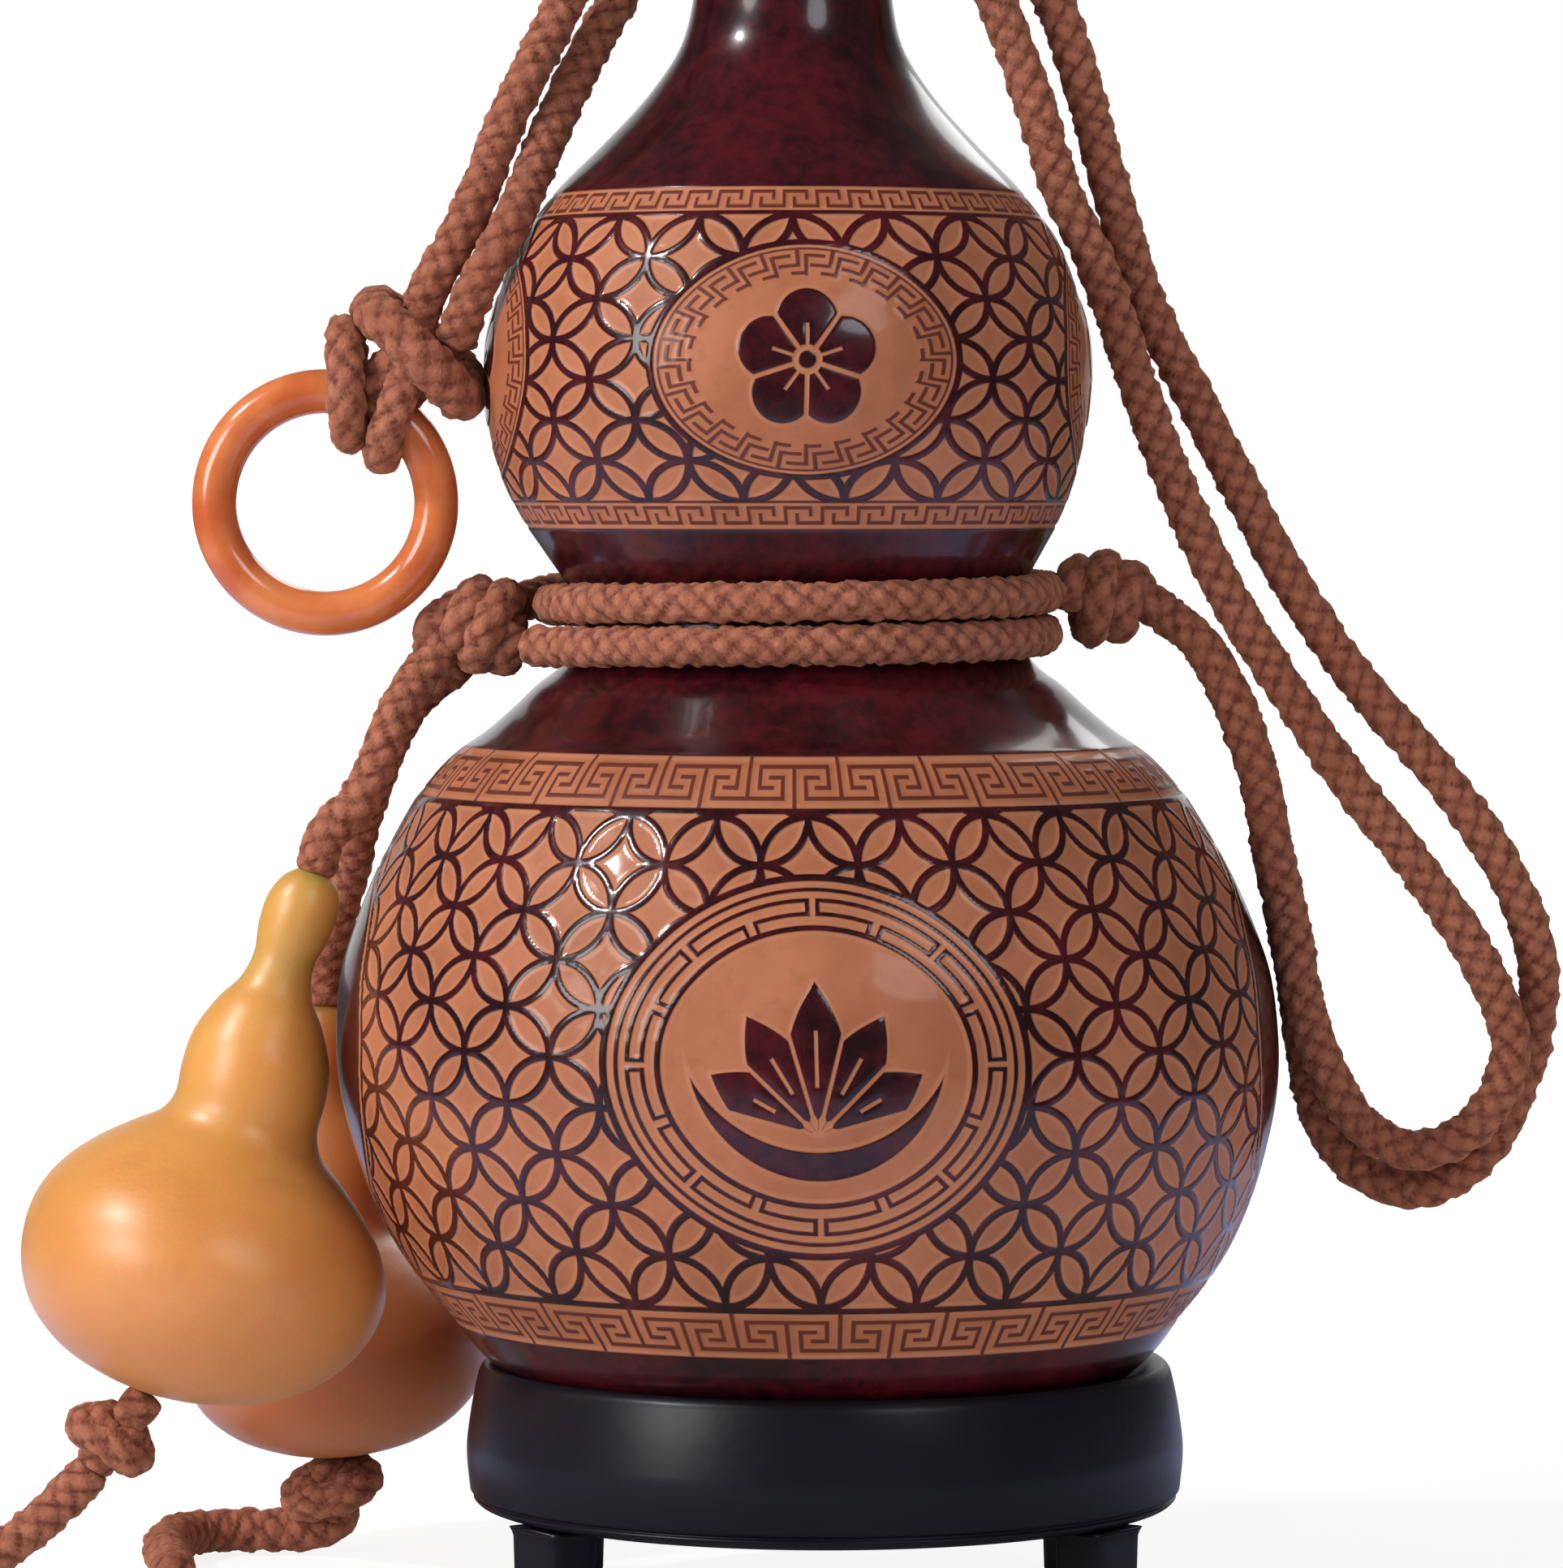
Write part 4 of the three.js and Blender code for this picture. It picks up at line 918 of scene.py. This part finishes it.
# Drop cords: the waist cord's two ends run down from the left knot to the small gourds. Each goes on
# through its gourd's bore, drawn thin there, and is held by the stop knot below.
def axis_end(top, length, lean_degrees):
    lean = math.radians(lean_degrees)
    return top - length * np.array([math.sin(lean), 0.0, math.cos(lean)])


def past_end(end, other, distance):
    return end + unit(end - other) * distance


front_top = np.array([-63.3, -8.0, 95.9])
front_bottom = axis_end(front_top, 70.3, 17.7)
back_top = np.array([-65.1, 44.0, 75.2])
back_bottom = axis_end(back_top, 61.6, 0.3)
hung_gourds = {"front": (front_top, front_bottom, 23.7), "back": (back_top, back_bottom, 21.3)}
drop_lines = {
    "front": [
        (-46.6, -1.6, 125.6), (-48.4, -2.4, 123.4), (-51.3, -4, 119.3), (-53.8, -6, 114.1),
        (-55.8, -7.5, 108.9), (-58, -8, 104.6),
    ],
    "back": [
        (-45.0, 4.6, 122.8), (-50.6, 8, 118.4), (-54.2, 14.5, 113.3), (-56.8, 22, 107.7),
        (-59.4, 29.5, 100.9), (-61.2, 35.6, 94), (-63.4, 40.6, 87),
    ],
}
for side_name, (top, bottom, _) in hung_gourds.items():
    drop = [*drop_lines[side_name], past_end(top, bottom, cord_width), past_end(top, bottom, 0.05)]
    drop_name = "drop_cord_" + side_name
    free_cord(drop_name + "_braid", drop, cord_width, [drop_name])
for side_name, (top, bottom, _) in hung_gourds.items():
    core_name = "gourd_core_" + side_name
    core_run = braided(np.linspace(top, bottom, 60)[1:-1], 1.9, plait=1.2)
    cord_piece(core_name + "_braid", [core_run], [core_name])


# Waist knots: at each side of the waist the braid is wound round itself and drawn tight, in fat turns
# side by side. The right one ties the strap on, and the left one joins the waist cord's ends.
def wrapped(start, end, turns, swell, first_degrees):
    """Points of a strand wound round a short stretch of cord. swell gives the radius along it."""
    start, end = np.array(start, float), np.array(end, float)
    along = unit(end - start)
    side = unit(np.cross((0.0, 0.0, 1.0), along))
    rise = np.cross(along, side)
    steps = round(turns * 12)
    share = np.linspace(0, 1, steps + 1)
    turn = math.radians(first_degrees) - share * turns * 2 * np.pi
    radius = np.interp(share, np.linspace(0, 1, len(swell)), swell)
    sway = 0.35 * np.sin(turn + 1.3)
    return (start + share[:, None] * (end - start) + sway[:, None] * along
            + (radius * np.cos(turn))[:, None] * side + (radius * np.sin(turn))[:, None] * rise)


def tied(node, lines, closed_lines=()):
    """One knot from (line, width) strands and closed loops."""
    runs = []
    for line, width in lines:
        runs.append(braided(smoothed(line), width, spacing=0.45, columns=24))
    for line, width in closed_lines:
        grid, stand, middle = braided(smoothed(line, closed=True), width, closed=True, columns=24)
        runs.append((np.concatenate([grid, grid[:1]]), np.concatenate([stand, stand[:1]]), middle))
    cord_piece(node + "_tied", runs, [node])


right_turns = wrapped((33.9, 2.0, 130.8), (43.2, 2.2, 131.0), 2.6, (3.3, 3.5, 4.1, 4.0, 2.8, 2.5), 200)
right_heart = [(33.4, 2.2, 131.4), (38.0, 2.2, 131.4), (43.0, 2.0, 130.8), (46.8, 1.2, 128.8)]
tied("waist_knot_right", [(right_turns, 4.9), (right_heart, 5.4)])
left_turns = wrapped((-37.4, -1.4, 126.3), (-46.2, -1.5, 129.0), 2.7, (2.8, 3.7, 4.4, 4.0, 2.8, 2.5), 20)
left_heart = [
    (-36.6, -1.5, 126.6), (-41.0, -1.5, 127.4), (-45.8, -1.5, 129.0), (-48.4, -2.0, 127.4),
    (-48.4, -2.4, 124.2),
]
tied("waist_knot_left", [(left_turns, 5.0), (left_heart, 5.0)])

# Ring knot: the doubled strap passes through the ring, and a turn of it is drawn over the two loops,
# so that they lie side by side on the ring.
ring_centre = np.array([-62.1, -4.0, 143.4])
ring_middle = 14.3
ring_section = 2.85
loop_half_height, loop_half_depth, loop_rise = 6.55, 5.5, 1.2


def ring_loop(degrees, tilt):
    angle = math.radians(degrees)
    out = np.array([math.cos(angle + tilt), 0.0, math.sin(angle + tilt)])
    middle = ring_centre + ring_middle * np.array([math.cos(angle), 0.0, math.sin(angle)]) + loop_rise * out
    turn = full_turn(12)
    deep = np.array([0.0, 1.0, 0.0])
    around_cord = loop_half_height * np.cos(turn)[:, None] * out
    return middle + around_cord + loop_half_depth * np.sin(turn)[:, None] * deep


ring_band = [
    (-55.6, -5.6, 167.6), (-53.6, -9.2, 166.2), (-50.0, -11.2, 162.6), (-46.8, -10, 159.4),
    (-44.4, -6.6, 156.8), (-44.4, -1.6, 159.4), (-48.2, 1.4, 163), (-52.6, 1, 166.6), (-55.4, -1.8, 168.4),
]
ring_heart_one = [(-49.0, -5.6, 169.4), (-51.0, -6.6, 164.4), (-54.2, -6.6, 160.0), (-56.0, -5.4, 157.2)]
ring_heart_two = [(-45.4, -6.6, 164.6), (-48.4, -4.2, 161.2), (-51.0, -3.0, 158.4), (-52.6, -3.4, 156.6)]
tied(
    "ring_knot", [(ring_heart_one, 5.2), (ring_heart_two, 5.2)],
    [(ring_band, 5.9), (ring_loop(78, 0.25), 4.9), (ring_loop(51, 0.35), 4.9)],
)

# Ring: a polished amber-coloured ring, round in section and a little cloudy. It isn't fixed, and it
# slips round in the two loops of the ring knot.
amber = Finish("cloudy_amber")
amber_cloud = amber.noise(90.0, 4.0)
amber_fleck = amber.noise(600.0, 2.0)
amber.surface(
    Base_Color=soft_step(amber_cloud, 0.3, 0.7).mix(colour(198, 94, 44), colour(228, 136, 80)),
    Roughness=0.16 + amber_fleck * 0.1, Coat_Weight=0.5, Coat_Roughness=0.08,
    Subsurface_Weight=0.35, Subsurface_Radius=(1.0, 0.45, 0.2), Subsurface_Scale=0.003,
    Normal=amber_cloud.bump(0.0001),
)
turn = full_turn(160)[:, None]
section_turn = full_turn(64)
ring_out = ring_middle + ring_section * np.cos(section_turn)
ring_rows = np.stack([
    ring_centre[0] + ring_out * np.cos(turn),
    ring_centre[1] - ring_section * np.sin(section_turn) + 0 * turn,
    ring_centre[2] + ring_out * np.sin(turn),
], -1)
amber_ring = skinned("amber_ring_polished", [ring_rows], [amber], True)
fitted(amber_ring, "ring", "amber", "amber_ring")

# Small gourds: two dried gourds left in their own skin, rubbed smooth and bored from top to bottom.
# Each is threaded on its drop cord and can turn on it. The rear one is painted browner, as painted shade
# from the front gourd and the bottle.
gourd_shape = [
    (0, 0.09), (0.02, 0.152), (0.06, 0.197), (0.115, 0.194), (0.17, 0.168), (0.22, 0.2), (0.27, 0.295),
    (0.34, 0.385), (0.4, 0.405), (0.46, 0.403), (0.495, 0.45), (0.53, 0.58), (0.582, 0.76), (0.64, 0.905),
    (0.7, 0.985), (0.76, 0.998), (0.83, 0.945), (0.9, 0.81), (0.955, 0.59), (0.985, 0.34), (1, 0.1),
]
gourd_bend = smoothed([(0, 0), (0.17, -0.006), (0.35, 0.006), (0.5, 0.016), (0.73, 0.025), (1, 0)])
small_bore = 1.3


def small_gourd(top, bottom, radius):
    length = np.linalg.norm(top - bottom)
    line = smoothed([(share * radius, -along * length) for along, share in reversed(gourd_shape)], steps=8)
    bore = np.stack([np.full(12, small_bore), np.linspace(0, -length, 12)], -1)
    lip = np.array([(small_bore + 0.25, -0.05)])
    foot = np.array([(small_bore + 0.25, -length + 0.05)])
    grid = turned(np.concatenate([foot, line, lip, bore]), 128)
    share = -grid[:, :, 2] / length
    outer = np.hypot(grid[:, :, 0], grid[:, :, 1]) > small_bore + 0.3
    grid[:, :, 0] += np.where(outer, np.interp(share, gourd_bend[:, 0], gourd_bend[:, 1]) * length, 0)
    up = (top - bottom) / length
    side = np.cross((0.0, 1.0, 0.0), up)
    deep = np.cross(up, side)
    return top + grid[:, :, :1] * side + grid[:, :, 1:2] * deep + grid[:, :, 2:] * up


natural_skin = Finish("natural_gourd_skin")
skin_cloud = natural_skin.noise(26.0)
skin_mottle = natural_skin.noise(160.0, 4.0)
skin_pore = natural_skin.noise(1400.0, 2.0)
skin_split = natural_skin.node("SeparateXYZ", {}, {"Vector": natural_skin.place()}, "Z")
# Painted reflection: below 7 cm the skin turns pinker towards the bottom.
low_painted_reflection = soft_step(skin_split, 0.07, 0.025)
skin_base = soft_step(skin_cloud, 0.35, 0.65).mix(colour(216, 148, 60), colour(230, 163, 82))
skin_base = (soft_step(skin_mottle, 0.5, 0.8) * 0.25).mix(skin_base, colour(196, 118, 56))
# Painted shade: behind 2 cm the rear gourd's skin is browner, where the front gourd and the bottle shade
# it.
rear_painted_shade = soft_step(skin_split.output("Y"), 0.018, 0.02)
skin_base = (rear_painted_shade * 0.7).mix(skin_base, colour(170, 92, 44))
natural_skin.surface(
    Base_Color=(low_painted_reflection * 0.5).mix(skin_base, colour(206, 128, 92)),
    Roughness=0.36 + skin_mottle * 0.12, Coat_Weight=0.7, Coat_Roughness=0.36,
    Subsurface_Weight=0.85, Subsurface_Radius=(1.0, 0.35, 0.1), Subsurface_Scale=0.018,
    Normal=(skin_mottle + skin_pore * 0.3).bump(0.00012),
)
for side_name, sizes in hung_gourds.items():
    hung = skinned("small_gourd_" + side_name + "_skin", [small_gourd(*sizes)], [natural_skin], True)
    fitted(hung, "gourd_" + side_name, "small_gourd", "small_gourd_" + side_name)

# Stop knots and tails: under each small gourd the braid is knotted, so that the gourd can't slide
# off, and its cut end lies on the floor.
front_knot_middle = front_bottom + (-4.7, 0, -5.6)
front_knot_end = front_knot_middle + (-2.8, 0, -4.2)
back_knot_middle = back_bottom + (0.7, 0.5, -4.0)
back_knot_end = back_knot_middle + (0.7, 0.7, -2.2)


def stop_loops(centre, end, width, drop):
    axis = unit(end - centre)
    side = unit(np.cross((0.0, 1.0, 0.0), axis))
    deep = np.cross(axis, side)
    turn = full_turn(12)
    loops = []
    for hand in (-1, 1):
        loops.append(
            centre + (width * np.cos(turn) + hand * 0.9)[:, None] * side
            + (width * np.sin(turn))[:, None] * deep
            + (hand * drop * np.cos(turn + hand * 0.8))[:, None] * axis)
    return loops


for side_name, middle, end, width, drop in (
    ("front", front_knot_middle, front_knot_end, 3.3, 1.2),
    ("back", back_knot_middle, back_knot_end, 4.2, 0.5),
):
    top, bottom, _ = hung_gourds[side_name]
    through = [past_end(bottom, top, 0.5), middle, end]
    loops = [(loop, 4.4) for loop in stop_loops(middle, end, width, drop)]
    tied("stop_knot_" + side_name, [(through, 5.0)], loops)

front_tail = [
    past_end(front_knot_end, front_knot_middle, 0.1), (-93.6, -8, 17.4), (-95.9, -8, 15),
    (-99.3, -9, 11.9), (-103.9, -10, 8.5), (-109, -11, 5.3), (-115, -11.6, 3.4), (-122, -11.4, 2.95),
    (-128.5, -10, 2.95),
]
back_tail = [
    past_end(back_knot_end, back_knot_middle, 0.1), (-63.9, 45.8, 5.5), (-65.6, 46, 4), (-68.6, 46, 3.35),
    (-73, 46, 3.3), (-78.6, 45.6, 3.3), (-83, 43.4, 3.3), (-85.4, 39, 3.3), (-86, 32, 3.3),
    (-85.4, 24, 3.3), (-84, 15, 3.3), (-83, 6, 3.3),
]
free_cord("tail_front_braid", front_tail, 5.4, ["tail_front"])
free_cord("tail_back_braid", back_tail, 5.8, ["tail_back"])
